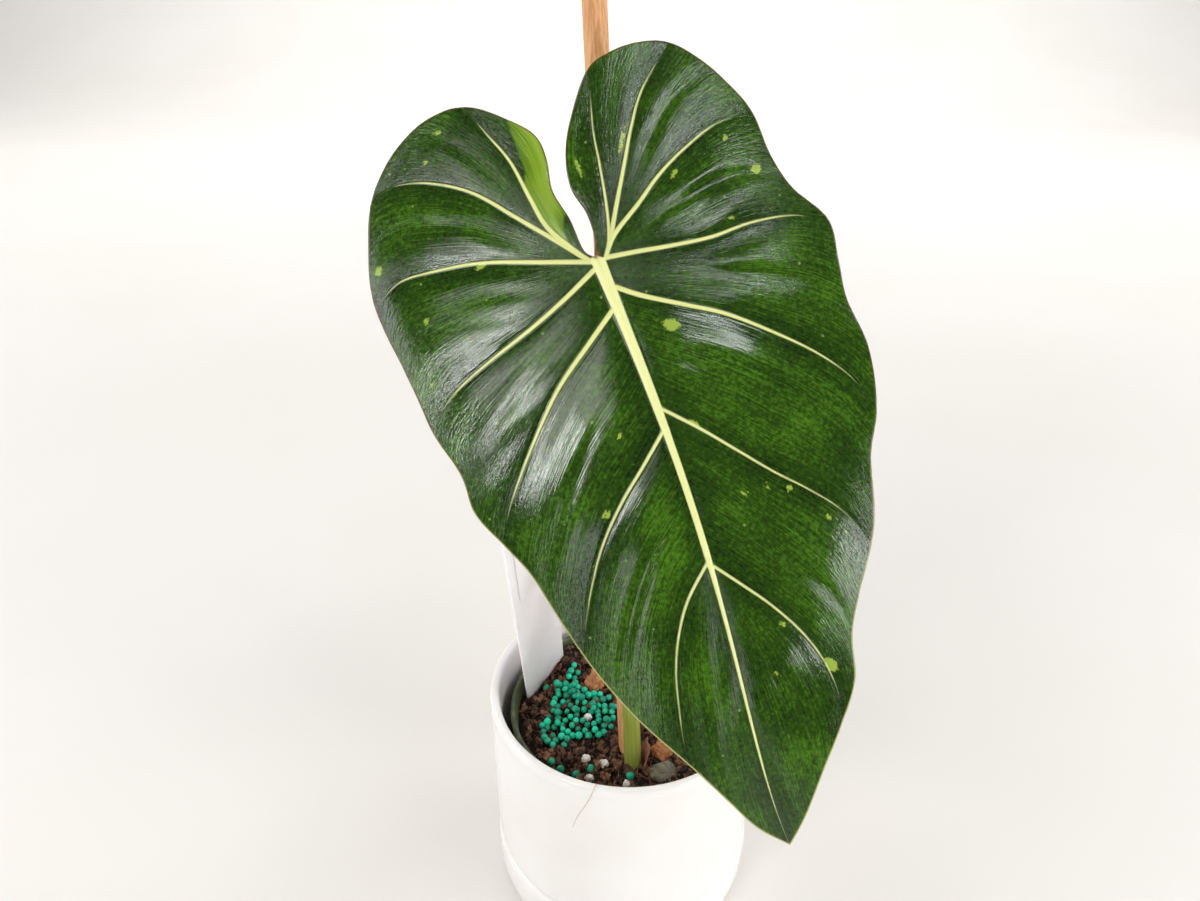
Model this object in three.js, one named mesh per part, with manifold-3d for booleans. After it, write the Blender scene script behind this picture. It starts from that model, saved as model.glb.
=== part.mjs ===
// Potted philodendron: one large heart-shaped leaf on its petiole, beside a wooden stake and a plant
// label, in a plastic nursery pot that stands inside a white glazed pot on a deep saucer.
// Millimetres, +Z up. The origin is the middle of the saucer's underside, and the leaf faces -Y.
import * as THREE from 'three';
import { mergeVertices } from 'three/addons/utils/BufferGeometryUtils.js';
import Module from 'manifold-3d';

const wasm = await Module();
wasm.setup();

// Clearance between pieces that rest on or in each other
const gap = 0.3;

// White glazed pot and its saucer
const potTop = 103;
const potRadius = 58;
const potWall = 6;
const saucerTop = 22.8;
const saucerFloor = 5;
const footRadius = 50.6;
const drainRadius = 6;
const glazeSides = 48;

// Nursery pot
const nurseryTop = 91.1;
const nurseryRimRadius = 49.8;
const nurseryWall = 1;
const nurseryFloor = saucerFloor + gap + potWall + gap;
const nurseryBaseRadius = 37.4;
const nurseryHoles = 6;
const nurseryHoleRadius = 4;
const nurseryHoleCircle = 27;

// Potting mix
const mixLevel = 83.6;
const mixTopRadius = 46.3;
const mixRings = 10;

// Slow-release granules and loose bits on the mix
const granuleRadius = 1.75;
const granuleSpacing = 2.9;
const granuleTries = 900;
const granuleLift = 1.5;
const granuleJitter = 0.9;
const bedTop = 0.9;
const bedDepth = 0.8;

// Petiole, rhizome and stake
const petioleFoot = { x: 4.1, y: -28.5 };
const petioleFootRadius = 3.5;
const petioleTopRadius = 2.9;
const rhizomeRadius = 6.2;
const rhizomeTaper = 0.8;
const sheathFacing = 20;
const sheathFootSpread = 55;
const sheathTopSpread = 14;
const stakeRadius = 3.9;
const stakeLength = 400;
const stakeFoot = new THREE.Vector3(5.8, -27, 20);
const stakeDirection = new THREE.Vector3(-0.0595, 0.117, 0.992).normalize();

// Plant label
const labelWidth = 27;
const labelLength = 152;
const labelThickness = 1;
const labelSunk = 20;
const labelCorner = 3;
const labelFoot = new THREE.Vector3(-43.4, 5.4, 84.5);
const labelFacing = 57.4;
const labelSlant = 17.8;
const labelLeanBack = 11.5;

// Leaf blade, measured from the junction with the petiole
const leafTip = { x: 5, y: -169 };
const leafJunction = new THREE.Vector3(-10.4, -42, 299);
const leafTilt = 62;
const leafTurn = 18;
const bladeHalfThickness = 0.4;
const bladeArch = 9;
const bladeArchLength = 185;
const bladeDroop = 14;
const bladeHalfWidth = 74;
const midribBow = 5.4;
const midribHalfWidth = 2.1;
const midribCrownAbove = 0.5;
const midribCrownBelow = 1.3;
const veinHalfWidth = 0.85;
const veinCrownAbove = 0.35;
const veinCrownBelow = 0.8;
const panelPuff = 1;
const tipPanelDip = 0.8;
const veinSteps = 13;
const bladeCell = 6.6;

const radians = THREE.MathUtils.degToRad;
const lerp = THREE.MathUtils.lerp;

const finish = (color, roughness) => new THREE.MeshStandardMaterial({ color, roughness, metalness: 0 });
const whiteGlaze = finish(0xf3f1ee, 0.22);
const nurseryPlastic = finish(0x4a5548, 0.5);
const darkPottingMix = finish(0x2b1c14, 0.95);
const tealGranule = finish(0x0f9a7c, 0.45);
const pineBark = finish(0x9a5f35, 0.85);
const perliteWhite = finish(0xe6e0d6, 0.9);
const oldRhizome = finish(0x6f7461, 0.8);
const drySheath = finish(0x7c4a32, 0.85);
const greenPetiole = finish(0x7c8b3a, 0.45);
const glossyLeaf = finish(0x1f4a1c, 0.35);
const bareWood = finish(0xb98a5a, 0.7);
const whitePlastic = finish(0xe9e4ef, 0.45);
const labelPaper = finish(0xfbfbfb, 0.6);

const plant = new THREE.Group();

function addPart(name, geometry, material, parent = plant) {
  const mesh = new THREE.Mesh(geometry, material);
  mesh.name = name;
  parent.add(mesh);
  return mesh;
}

// The same draws in the same order every time
function seededRandom(seed) {
  let state = seed;
  return () => {
    state = (state + 0x6d2b79f5) | 0;
    let mixed = Math.imul(state ^ (state >>> 15), 1 | state);
    mixed = (mixed + Math.imul(mixed ^ (mixed >>> 7), 61 | mixed)) ^ mixed;
    return ((mixed ^ (mixed >>> 14)) >>> 0) / 4294967296;
  };
}

function withoutNormals(geometry) {
  const bare = geometry.clone();
  bare.deleteAttribute('normal');
  bare.deleteAttribute('uv');
  return mergeVertices(bare);
}

function toSolid(geometry) {
  const merged = withoutNormals(geometry);
  return new wasm.Manifold(new wasm.Mesh({
    numProp: 3,
    vertProperties: Float32Array.from(merged.attributes.position.array),
    triVerts: Uint32Array.from(merged.index.array),
  }));
}

function toGeometry(solid) {
  const { vertProperties, triVerts } = solid.getMesh();
  const geometry = new THREE.BufferGeometry();
  geometry.setAttribute('position', new THREE.BufferAttribute(vertProperties, 3));
  geometry.setIndex(new THREE.BufferAttribute(triVerts, 1));
  geometry.computeVertexNormals();
  return geometry;
}

// One piece with the shapes of others taken out of it
function carve(geometry, tools) {
  return toGeometry(tools.reduce((solid, tool) => solid.subtract(toSolid(tool)), toSolid(geometry)));
}

function fromPoints(points, faces) {
  const geometry = new THREE.BufferGeometry();
  geometry.setAttribute('position', new THREE.Float32BufferAttribute(points.flat(), 3));
  geometry.setIndex(faces.flat());
  geometry.computeVertexNormals();
  return geometry;
}

// Triangles between two rows of points, walked together by their place t along the rows
function stitch(near, far, addFace) {
  let i = 0;
  let j = 0;
  while (i < near.length - 1 || j < far.length - 1) {
    const nearNext = i < near.length - 1 ? near[i + 1].t : Infinity;
    const farNext = j < far.length - 1 ? far[j + 1].t : Infinity;
    if (nearNext <= farNext) {
      addFace(near[i].id, near[i + 1].id, far[j].id);
      i += 1;
    } else {
      addFace(near[i].id, far[j + 1].id, far[j].id);
      j += 1;
    }
  }
}

// A round profile of [radius, height] pairs, turned about the Z axis
function turned(profile, sides) {
  const outline = profile.map(([radius, height]) => new THREE.Vector2(radius, height));
  return new THREE.LatheGeometry(outline, sides).rotateX(Math.PI / 2);
}

// A solid round tube along a curve, closed flat at both ends, its radius given along the way
function taperedTube(curve, radiusAt, sides, steps) {
  const frames = curve.computeFrenetFrames(steps);
  const points = [];
  const faces = [];
  for (let ring = 0; ring <= steps; ring += 1) {
    const centre = curve.getPointAt(ring / steps);
    const radius = radiusAt(ring / steps);
    for (let side = 0; side < sides; side += 1) {
      const angle = (side / sides) * 2 * Math.PI;
      const point = centre.clone()
        .addScaledVector(frames.normals[ring], radius * Math.cos(angle))
        .addScaledVector(frames.binormals[ring], radius * Math.sin(angle));
      points.push(point.toArray());
      if (ring < steps) {
        const here = ring * sides + side;
        const next = ring * sides + ((side + 1) % sides);
        faces.push([here, next, next + sides], [here, next + sides, here + sides]);
      }
    }
  }
  const last = steps * sides;
  for (let side = 1; side < sides - 1; side += 1) {
    faces.push([0, side + 1, side], [last, last + side, last + side + 1]);
  }
  return fromPoints(points, faces);
}

const curveThrough = (rows) => new THREE.CatmullRomCurve3(rows.map((row) => new THREE.Vector3(...row)));

// Saucer: a deep glazed dish, its wall rounded over at the top
addPart('saucer', turned([
  [0, 0], [52, 0], [55.6, 1], [57.4, 3.4], [57.9, 8], [58.1, 17], [58, 20.4], [57.2, 22], [55.6, saucerTop],
  [53, saucerTop], [52.2, 21.8], [51.4, 17], [51.2, 8], [49.5, saucerFloor], [0, saucerFloor],
], glazeSides), whiteGlaze);

// Pot: a straight glazed wall with a rounded lip; below the step its foot nests in the saucer
const potFootZ = saucerFloor + gap;
addPart('pot', turned([
  [drainRadius, potFootZ], [footRadius - 2.2, potFootZ], [footRadius, potFootZ + 2], [footRadius, saucerTop],
  [51.4, saucerTop + gap], [56, saucerTop + gap], [57, saucerTop + 1.4], [57.7, 80], [57.6, 98],
  [potRadius, 99.2], [57.9, 101.2], [57.2, 102.6], [56, potTop], [54.9, 102.6], [54.1, 101.3],
  [53.8, 97], [52.4, 30], [47.8, 22], [45.5, 14], [43.5, potFootZ + potWall], [drainRadius, potFootZ + potWall],
  [drainRadius, potFootZ],
], glazeSides), whiteGlaze);

// Nursery pot: a thin tapered shell with a rolled rim and holes round the foot
const nurseryShell = turned([
  [0, nurseryFloor], [nurseryBaseRadius - 1.2, nurseryFloor], [nurseryBaseRadius, nurseryFloor + 1.2],
  [48, 86], [nurseryRimRadius, 87.4], [nurseryRimRadius, nurseryTop - 0.6],
  [nurseryRimRadius - 0.6, nurseryTop], [48.2, nurseryTop], [47.6, nurseryTop - 0.6], [47, 86],
  [nurseryBaseRadius - nurseryWall, nurseryFloor + 1.6], [0, nurseryFloor + 1.6],
], 48);
const nurseryDrains = Array.from({ length: nurseryHoles }, (unused, index) => {
  const angle = (index / nurseryHoles) * 2 * Math.PI;
  return new THREE.CylinderGeometry(nurseryHoleRadius, nurseryHoleRadius, 8, 12).rotateX(Math.PI / 2)
    .translate(nurseryHoleCircle * Math.cos(angle), nurseryHoleCircle * Math.sin(angle), nurseryFloor);
});
addPart('nursery_pot', carve(nurseryShell, nurseryDrains), nurseryPlastic);

// Ground under everything that lies on the mix: level, with a mound behind on the left and a low heap
// in front of it
function ground(x, y) {
  const mound = 6 * Math.exp(-(((x + 27) / 13) ** 2) - ((y - 27) / 12) ** 2);
  const heap = 2 * Math.exp(-(((x + 18) / 15) ** 2) - (y / 17) ** 2);
  return mixLevel + mound + heap;
}

// Lumps of coir and bark a few millimetres across
function lumps(x, y) {
  const coarse = 1.1 * Math.sin(0.62 * x + 0.9) * Math.sin(0.55 * y - 0.4);
  const fine = 0.8 * Math.sin(0.97 * x - 0.71 * y + 2) * Math.cos(0.83 * y + 0.4 * x);
  return coarse + fine;
}

// Potting mix: a lumpy round top on six-fold rings, straight sides and a flat bottom
function pottingMix() {
  const bottomRadius = nurseryBaseRadius - nurseryWall - 0.5;
  const bottomZ = nurseryFloor + 1.6 + gap;
  const points = [[0, 0, ground(0, 0)]];
  const faces = [];
  const addFace = (a, b, c) => faces.push([a, b, c]);
  const rings = [[0]];
  for (let ring = 1; ring <= mixRings; ring += 1) {
    const radius = (ring / mixRings) * mixTopRadius;
    const ids = [];
    for (let spot = 0; spot < 6 * ring; spot += 1) {
      const angle = (spot / (6 * ring)) * 2 * Math.PI;
      const x = radius * Math.cos(angle);
      const y = radius * Math.sin(angle);
      ids.push(points.length);
      points.push([x, y, ground(x, y) + lumps(x, y)]);
    }
    rings.push(ids);
    for (let sector = 0; sector < 6; sector += 1) {
      const row = (level, count) => Array.from({ length: count + 1 }, (unused, step) => ({
        t: step / Math.max(count, 1),
        id: rings[level][(sector * count + step) % rings[level].length],
      }));
      stitch(row(ring, ring), row(ring - 1, ring - 1), addFace);
    }
  }
  const rim = rings[mixRings];
  const below = rim.map((id) => {
    const [x, y] = points[id];
    points.push([(x * bottomRadius) / mixTopRadius, (y * bottomRadius) / mixTopRadius, bottomZ]);
    return points.length - 1;
  });
  const middle = points.push([0, 0, bottomZ]) - 1;
  rim.forEach((id, spot) => {
    const next = (spot + 1) % rim.length;
    faces.push([id, below[spot], below[next]], [id, below[next], rim[next]]);
    faces.push([middle, below[next], below[spot]]);
  });
  return fromPoints(points, faces);
}

// A rough chunk: a many-sided ball pushed out of shape and stretched
function roughChunk(seed, detail, radius, [wide, deep, tall]) {
  const random = seededRandom(seed);
  const chunk = withoutNormals(new THREE.IcosahedronGeometry(radius, detail));
  const spots = chunk.attributes.position;
  for (let spot = 0; spot < spots.count; spot += 1) {
    const push = 0.82 + 0.3 * random();
    spots.setXYZ(spot, spots.getX(spot) * push * wide, spots.getY(spot) * push * deep,
      spots.getZ(spot) * push * tall);
  }
  chunk.computeVertexNormals();
  return chunk;
}

// Loose bits: each lies half sunk where the ground is, and leaves its own hollow in what is under it
const hollows = [];
function layDown(name, chunk, material, [x, y, lift], radius) {
  const place = new THREE.Matrix4().makeTranslation(x, y, ground(x, y) + lift);
  const growth = (radius + gap + 0.1) / radius;
  hollows.push({ x, y, radius, shape: chunk.clone().scale(growth, growth, growth).applyMatrix4(place) });
  const mesh = addPart(name, chunk, material);
  mesh.position.setFromMatrixPosition(place);
}

const barkChunks = [
  { at: [-13.4, 15.6, 2.2], radius: 5, stretch: [0.85, 1.1, 0.75] },
  { at: [16.5, -22, 2.4], radius: 4.2, stretch: [1.1, 0.9, 0.8] },
];
barkChunks.forEach(({ at, radius, stretch }, index) => {
  const chunk = roughChunk(31 + index, 1, radius, stretch);
  layDown(`bark_chunk_${index + 1}`, chunk, pineBark, at, radius * 0.7);
});

const perliteBits = [
  { at: [-15.8, -6.3, 1.7], radius: 1.7 },
  { at: [-15.5, -27, 0.9], radius: 1.9 },
  { at: [-8, -29, 0.9], radius: 2 },
  { at: [-13.6, -36.6, 0.9], radius: 1.9 },
  { at: [1.6, -38.6, 0.8], radius: 1.6 },
];
perliteBits.forEach(({ at, radius }, index) => {
  const crumb = roughChunk(51 + index, 0, radius, [1, 0.9, 1.1]);
  layDown(`perlite_${index + 1}`, crumb, perliteWhite, at, radius * 0.8);
});

const strayGranules = [
  [-29.5, -29], [-25.5, -32.6], [-19, -35], [-13.2, -31.6], [3, -34.4], [-35.6, 11.4],
];
strayGranules.forEach(([x, y], index) => {
  const ball = withoutNormals(new THREE.IcosahedronGeometry(granuleRadius, 0));
  ball.computeVertexNormals();
  layDown(`stray_granule_${index + 1}`, ball, tealGranule, [x, y, 0.8], granuleRadius);
});

// Granules: a heap of balls on the ground, joined by a thin bed that their lower halves sink into
const bedCentre = [-20, 0];
const bedOutline = new THREE.CatmullRomCurve3([
  [-25, 23], [-20.5, 20], [-19.5, 11], [-11, 7.5], [-5, 5], [-4.6, -9], [-10, -15.5], [-20, -17],
  [-27, -23], [-33, -20], [-36, -9], [-32, -2], [-32, 7], [-28.5, 14],
].map(([x, y]) => new THREE.Vector3(x, y, 0)), true);
const bedSpots = 28;
const bedRings = 3;

function granuleBed(grow, above, below) {
  const points = [];
  const faces = [];
  const layers = [above, -below];
  const addRing = (level, share) => {
    const ids = [];
    for (let spot = 0; spot < bedSpots; spot += 1) {
      const edge = bedOutline.getPointAt(spot / bedSpots);
      const offset = new THREE.Vector2(edge.x - bedCentre[0], edge.y - bedCentre[1]);
      offset.setLength((offset.length() + grow) * share);
      const x = bedCentre[0] + offset.x;
      const y = bedCentre[1] + offset.y;
      ids.push(points.push([x, y, ground(x, y) + level]) - 1);
    }
    return ids;
  };
  const rims = layers.map((level, side) => {
    const middle = points.push([...bedCentre, ground(...bedCentre) + level]) - 1;
    const turn = (a, b, c) => faces.push(side === 0 ? [a, c, b] : [a, b, c]);
    let inner = null;
    for (let ring = 1; ring <= bedRings; ring += 1) {
      const outer = addRing(level, ring / bedRings);
      outer.forEach((id, spot) => {
        const next = (spot + 1) % bedSpots;
        if (inner === null) {
          turn(middle, id, outer[next]);
        } else {
          turn(inner[spot], id, outer[next]);
          turn(inner[spot], outer[next], inner[next]);
        }
      });
      inner = outer;
    }
    return inner;
  });
  rims[0].forEach((id, spot) => {
    const next = (spot + 1) % bedSpots;
    faces.push([id, rims[1][next], rims[1][spot]], [id, rims[0][next], rims[1][next]]);
  });
  return fromPoints(points, faces);
}

const bedEdge = bedOutline.getPoints(60);

function insideBed(x, y) {
  let inside = false;
  bedEdge.forEach((here, spot) => {
    const next = bedEdge[(spot + 1) % bedEdge.length];
    const crossing = here.x + ((y - here.y) / (next.y - here.y)) * (next.x - here.x);
    if ((here.y > y) !== (next.y > y) && x < crossing) inside = !inside;
  });
  return inside;
}

function granuleHeap() {
  const random = seededRandom(7);
  const centres = [];
  for (let attempt = 0; attempt < granuleTries; attempt += 1) {
    const x = -37 + 34 * random();
    const y = -24 + 48 * random();
    const farFrom = (other, reach) => Math.hypot(x - other.x, y - other.y) > reach;
    const clear = centres.every((other) => farFrom(other, granuleSpacing))
      && hollows.every((bit) => farFrom(bit, bit.radius + granuleRadius));
    if (clear && insideBed(x, y)) {
      centres.push({ x, y });
    }
  }
  const balls = centres.map(({ x, y }) => new THREE.IcosahedronGeometry(granuleRadius, 0)
    .rotateX(random() * 3).rotateY(random() * 3)
    .translate(x, y, ground(x, y) + granuleLift + granuleJitter * random()));
  const bed = toSolid(granuleBed(0, bedTop, bedDepth));
  return toGeometry(balls.reduce((heap, ball) => heap.add(toSolid(ball)), bed));
}

addPart('fertiliser_granules', carve(granuleHeap(), hollows.map((bit) => bit.shape)), tealGranule);

// Rhizome: the thick old stem, buried but for its cut end
const rhizomePath = [[3, -36, 69], [8, -32, 75], [14, -31, 80.5], [19.5, -33, 86]];
const rhizomeTube = (grow) => taperedTube(
  curveThrough(rhizomePath), (along) => rhizomeRadius - rhizomeTaper * along + grow, 14, 8);

// Petiole: rises from the rhizome behind the blade, leans a little to the left and bends to the blade
const petiolePath = [
  [4.2, -28.6, 77], [petioleFoot.x, petioleFoot.y, 84], [2.3, -27.8, 120], [-1.5, -27, 180],
  [-5.5, -26.5, 240], [-8.3, -27, 272], [-10, -30.5, 290], [-10.4, -39.6, 297.7],
];
const petioleTube = (grow) => taperedTube(
  curveThrough(petiolePath), (along) => lerp(petioleFootRadius, petioleTopRadius, along) + grow, 14, 26);
addPart('petiole', petioleTube(0), greenPetiole);

// Dry sheath: a curled papery scale left standing beside the petiole's foot
function sheathShell(grow) {
  const points = [];
  const faces = [];
  const rows = 5;
  const columns = 6;
  const inner = petioleFootRadius + 0.9 - grow;
  const outer = petioleFootRadius + 1.9 + grow;
  for (let row = 0; row <= rows; row += 1) {
    const up = row / rows;
    const spread = lerp(sheathFootSpread, sheathTopSpread, up ** 1.4) + grow * 8;
    for (let column = 0; column <= columns; column += 1) {
      const angle = radians(sheathFacing + spread * (2 * (column / columns) - 1));
      const lean = 1 + 0.32 * up * up;
      for (const radius of [inner, outer]) {
        const x = petioleFoot.x + radius * lean * Math.cos(angle);
        const y = petioleFoot.y + radius * lean * Math.sin(angle);
        const z = mixLevel + lerp(-4 - grow, 11 + grow, up) + 0.4 * column * up;
        points.push([x, y, z]);
      }
    }
  }
  const id = (row, column, side) => 2 * (row * (columns + 1) + column) + side;
  const quad = (a, b, c, d) => faces.push([a, b, c], [a, c, d]);
  for (let row = 0; row < rows; row += 1) {
    for (let column = 0; column < columns; column += 1) {
      quad(id(row, column, 1), id(row, column + 1, 1), id(row + 1, column + 1, 1), id(row + 1, column, 1));
      quad(id(row, column, 0), id(row + 1, column, 0), id(row + 1, column + 1, 0), id(row, column + 1, 0));
    }
    quad(id(row, 0, 0), id(row, 0, 1), id(row + 1, 0, 1), id(row + 1, 0, 0));
    quad(id(row, columns, 1), id(row, columns, 0), id(row + 1, columns, 0), id(row + 1, columns, 1));
  }
  for (let column = 0; column < columns; column += 1) {
    quad(id(0, column, 0), id(0, column + 1, 0), id(0, column + 1, 1), id(0, column, 1));
    quad(id(rows, column, 1), id(rows, column + 1, 1), id(rows, column + 1, 0), id(rows, column, 0));
  }
  return fromPoints(points, faces);
}
addPart('dry_sheath', carve(sheathShell(0), [rhizomeTube(gap), hollows[1].shape]), drySheath);

addPart('rhizome', carve(rhizomeTube(0), [petioleTube(gap), hollows[1].shape]), oldRhizome);

// Stake: a plain round rod, leaning a little back and to the left
const stake = addPart('support_stake', new THREE.CylinderGeometry(stakeRadius, stakeRadius, stakeLength, 16)
  .translate(0, stakeLength / 2, 0), bareWood);
stake.quaternion.setFromUnitVectors(new THREE.Vector3(0, 1, 0), stakeDirection);
stake.position.copy(stakeFoot);

// Plant label: a flat tag with a pointed foot, standing askew by the wall of the nursery pot
const labelStand = new THREE.Group();
labelStand.position.copy(labelFoot);
labelStand.rotation.set(radians(90), 0, radians(labelFacing), 'ZXY');
plant.add(labelStand);
const labelLean = new THREE.Group();
labelLean.rotation.set(radians(labelLeanBack), 0, radians(labelSlant), 'ZXY');
labelStand.add(labelLean);

function labelTag(grow) {
  const left = -grow;
  const right = labelWidth + grow;
  const top = labelLength - labelSunk;
  const corner = labelCorner;
  const outline = new THREE.Shape();
  outline.moveTo(labelWidth / 2 + 2, -labelSunk - grow);
  outline.lineTo(right, -2);
  outline.lineTo(right, top - corner);
  outline.absarc(right - corner, top - corner, corner, 0, Math.PI / 2);
  outline.lineTo(left + corner, top);
  outline.absarc(left + corner, top - corner, corner, Math.PI / 2, Math.PI);
  outline.lineTo(left, -2);
  outline.lineTo(labelWidth / 2 - 2, -labelSunk - grow);
  const depth = labelThickness + 2 * grow;
  return new THREE.ExtrudeGeometry(outline, { depth, bevelEnabled: false, curveSegments: 4 })
    .translate(0, 0, -depth / 2);
}
const label = addPart('plant_label', labelTag(0), whitePlastic, labelLean);

// Sticker: a blank paper rectangle on the label's face
const sticker = { left: 3.6, bottom: 81.5, width: 20, height: 44, thickness: 0.3 };
const stickerSheet = addPart('label_sticker', new THREE.BoxGeometry(
  sticker.width, sticker.height, sticker.thickness), labelPaper, labelLean);
stickerSheet.position.set(sticker.left + sticker.width / 2, sticker.bottom + sticker.height / 2,
  labelThickness / 2 + gap + sticker.thickness / 2);

// Potting mix with a plain hole or hollow for all that stands or lies in it
plant.updateMatrixWorld(true);
const stakeHole = new THREE.CylinderGeometry(stakeRadius + gap, stakeRadius + gap, stakeLength, 16)
  .translate(0, stakeLength / 2 - gap, 0).applyMatrix4(stake.matrixWorld);
const labelSlot = labelTag(gap).applyMatrix4(label.matrixWorld);
const clearAbove = 8;
const bedHollow = granuleBed(granuleRadius + gap, clearAbove, bedDepth + gap);
addPart('potting_mix', carve(pottingMix(), [
  bedHollow, petioleTube(gap), rhizomeTube(gap), sheathShell(gap), stakeHole, labelSlot,
  ...hollows.map((bit) => bit.shape),
]), darkPottingMix);

// Leaf margin, from the notch over each lobe and down to the tip, in the blade's own plane
const leafNotch = [-0.7, 2.1];
const leftMargin = [
  leafNotch, [-3.1, 5], [-4.3, 14.5], [-6.7, 24], [-5.8, 33.5], [-7, 41], [-13, 47.8], [-24.5, 56],
  [-37, 56], [-49.2, 50.2], [-59, 40.3], [-63.6, 28], [-66.6, 14], [-66, 3], [-63, -10], [-60.7, -21.5],
  [-58.8, -32.5], [-54, -45.5], [-53, -57], [-47.5, -67.5], [-42.3, -77], [-38.6, -89], [-34.6, -102],
  [-30.5, -112], [-24.5, -124], [-15, -139.5], [-8.5, -151], [-2.5, -161.5], [leafTip.x, leafTip.y],
];
const rightMargin = [
  leafNotch, [0.75, 7.2], [0.5, 15], [-1.7, 23.5], [-0.2, 33.5], [4.3, 43.5], [12.3, 55], [20, 58.2], [29, 58.9],
  [37.3, 57], [44.2, 50.3], [49.8, 42], [54.8, 31.5], [55.9, 17.5], [59, 6.5], [66.6, -5], [65.4, -17],
  [63.9, -29], [65.6, -43.5], [62.5, -60], [56.5, -72], [53, -86], [49.5, -95], [42, -107], [37, -117],
  [34.5, -129], [28, -139.5], [19.5, -150.5], [11.5, -161.5], [leafTip.x, leafTip.y],
];

// Lateral veins: where each leaves the midrib (station, along y), the way it takes, and the margin point
// that it runs out to
const leftVeins = [
  { station: 0.9, way: [[-5, 4.5], [-11, 14], [-13.5, 24], [-16, 36], [-20.5, 46.5]], end: 7 },
  { station: 0.9, way: [[-10, 10], [-18, 19], [-29, 31], [-41, 38.5], [-52, 41.5]], end: 10 },
  { station: 0.9, way: [[-15, 5], [-32, 10.5], [-47, 13], [-57, 13.5], [-63.5, 10]], end: 13 },
  { station: -1.5, way: [[-12, -7], [-23, -12], [-35, -16.5], [-47, -21.5], [-55, -27]], end: 16 },
  { station: -14, way: [[-9, -21], [-20, -30], [-29, -40], [-37, -50], [-43, -58.5]], end: 19 },
  { station: -50, way: [[-4, -57], [-13, -65.5], [-21, -75], [-27, -85], [-31.5, -94.5]], end: 22 },
  { station: -87, way: [[-3, -95], [-8, -103.5], [-11.5, -113], [-13.5, -123], [-14.8, -132]], end: 25 },
];
const rightVeins = [
  { station: 0.9, way: [[4.6, 6], [6.5, 15], [8, 27], [9, 37], [11, 47]], end: 6 },
  { station: 0.9, way: [[5.2, 6.4], [10, 16], [15, 26], [20, 36], [26, 45.5]], end: 9 },
  { station: 0.9, way: [[6.2, 6.4], [15, 13], [23, 19.5], [32, 25], [43, 30]], end: 12 },
  { station: 0.9, way: [[11, 0], [20, -1], [32, -1.7], [44, -0.6], [56, -1.4]], end: 15 },
  { station: -8, way: [[9, -12.5], [19, -18], [29, -23.5], [39, -31], [50, -40.5], [57.5, -49.5]], end: 19 },
  { station: -44, way: [[13, -51.5], [21, -60], [29, -68.5], [37, -76], [44, -84]], end: 22 },
  { station: -88, way: [[13, -96], [18.5, -103], [24, -112], [27.5, -121], [29, -130.5]], end: 26 },
];
const sinusCorner = 6;

// The midrib bows a little to the right; past the junction it narrows to nothing at the tip
function midribX(y) {
  const along = Math.max(0, y / leafTip.y);
  return midribBow * Math.sin(Math.PI * along) + leafTip.x * along ** 8;
}

function midribHalf(y) {
  return midribHalfWidth * (1 - Math.max(0, y / leafTip.y)) ** 0.8;
}

// The blade arches along its midrib, and both halves and the lobes fall away from it
function bladeHeight(x, y) {
  return bladeArch * Math.sin((Math.PI * y) / -bladeArchLength) - bladeDroop * (x / bladeHalfWidth) ** 2;
}

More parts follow.
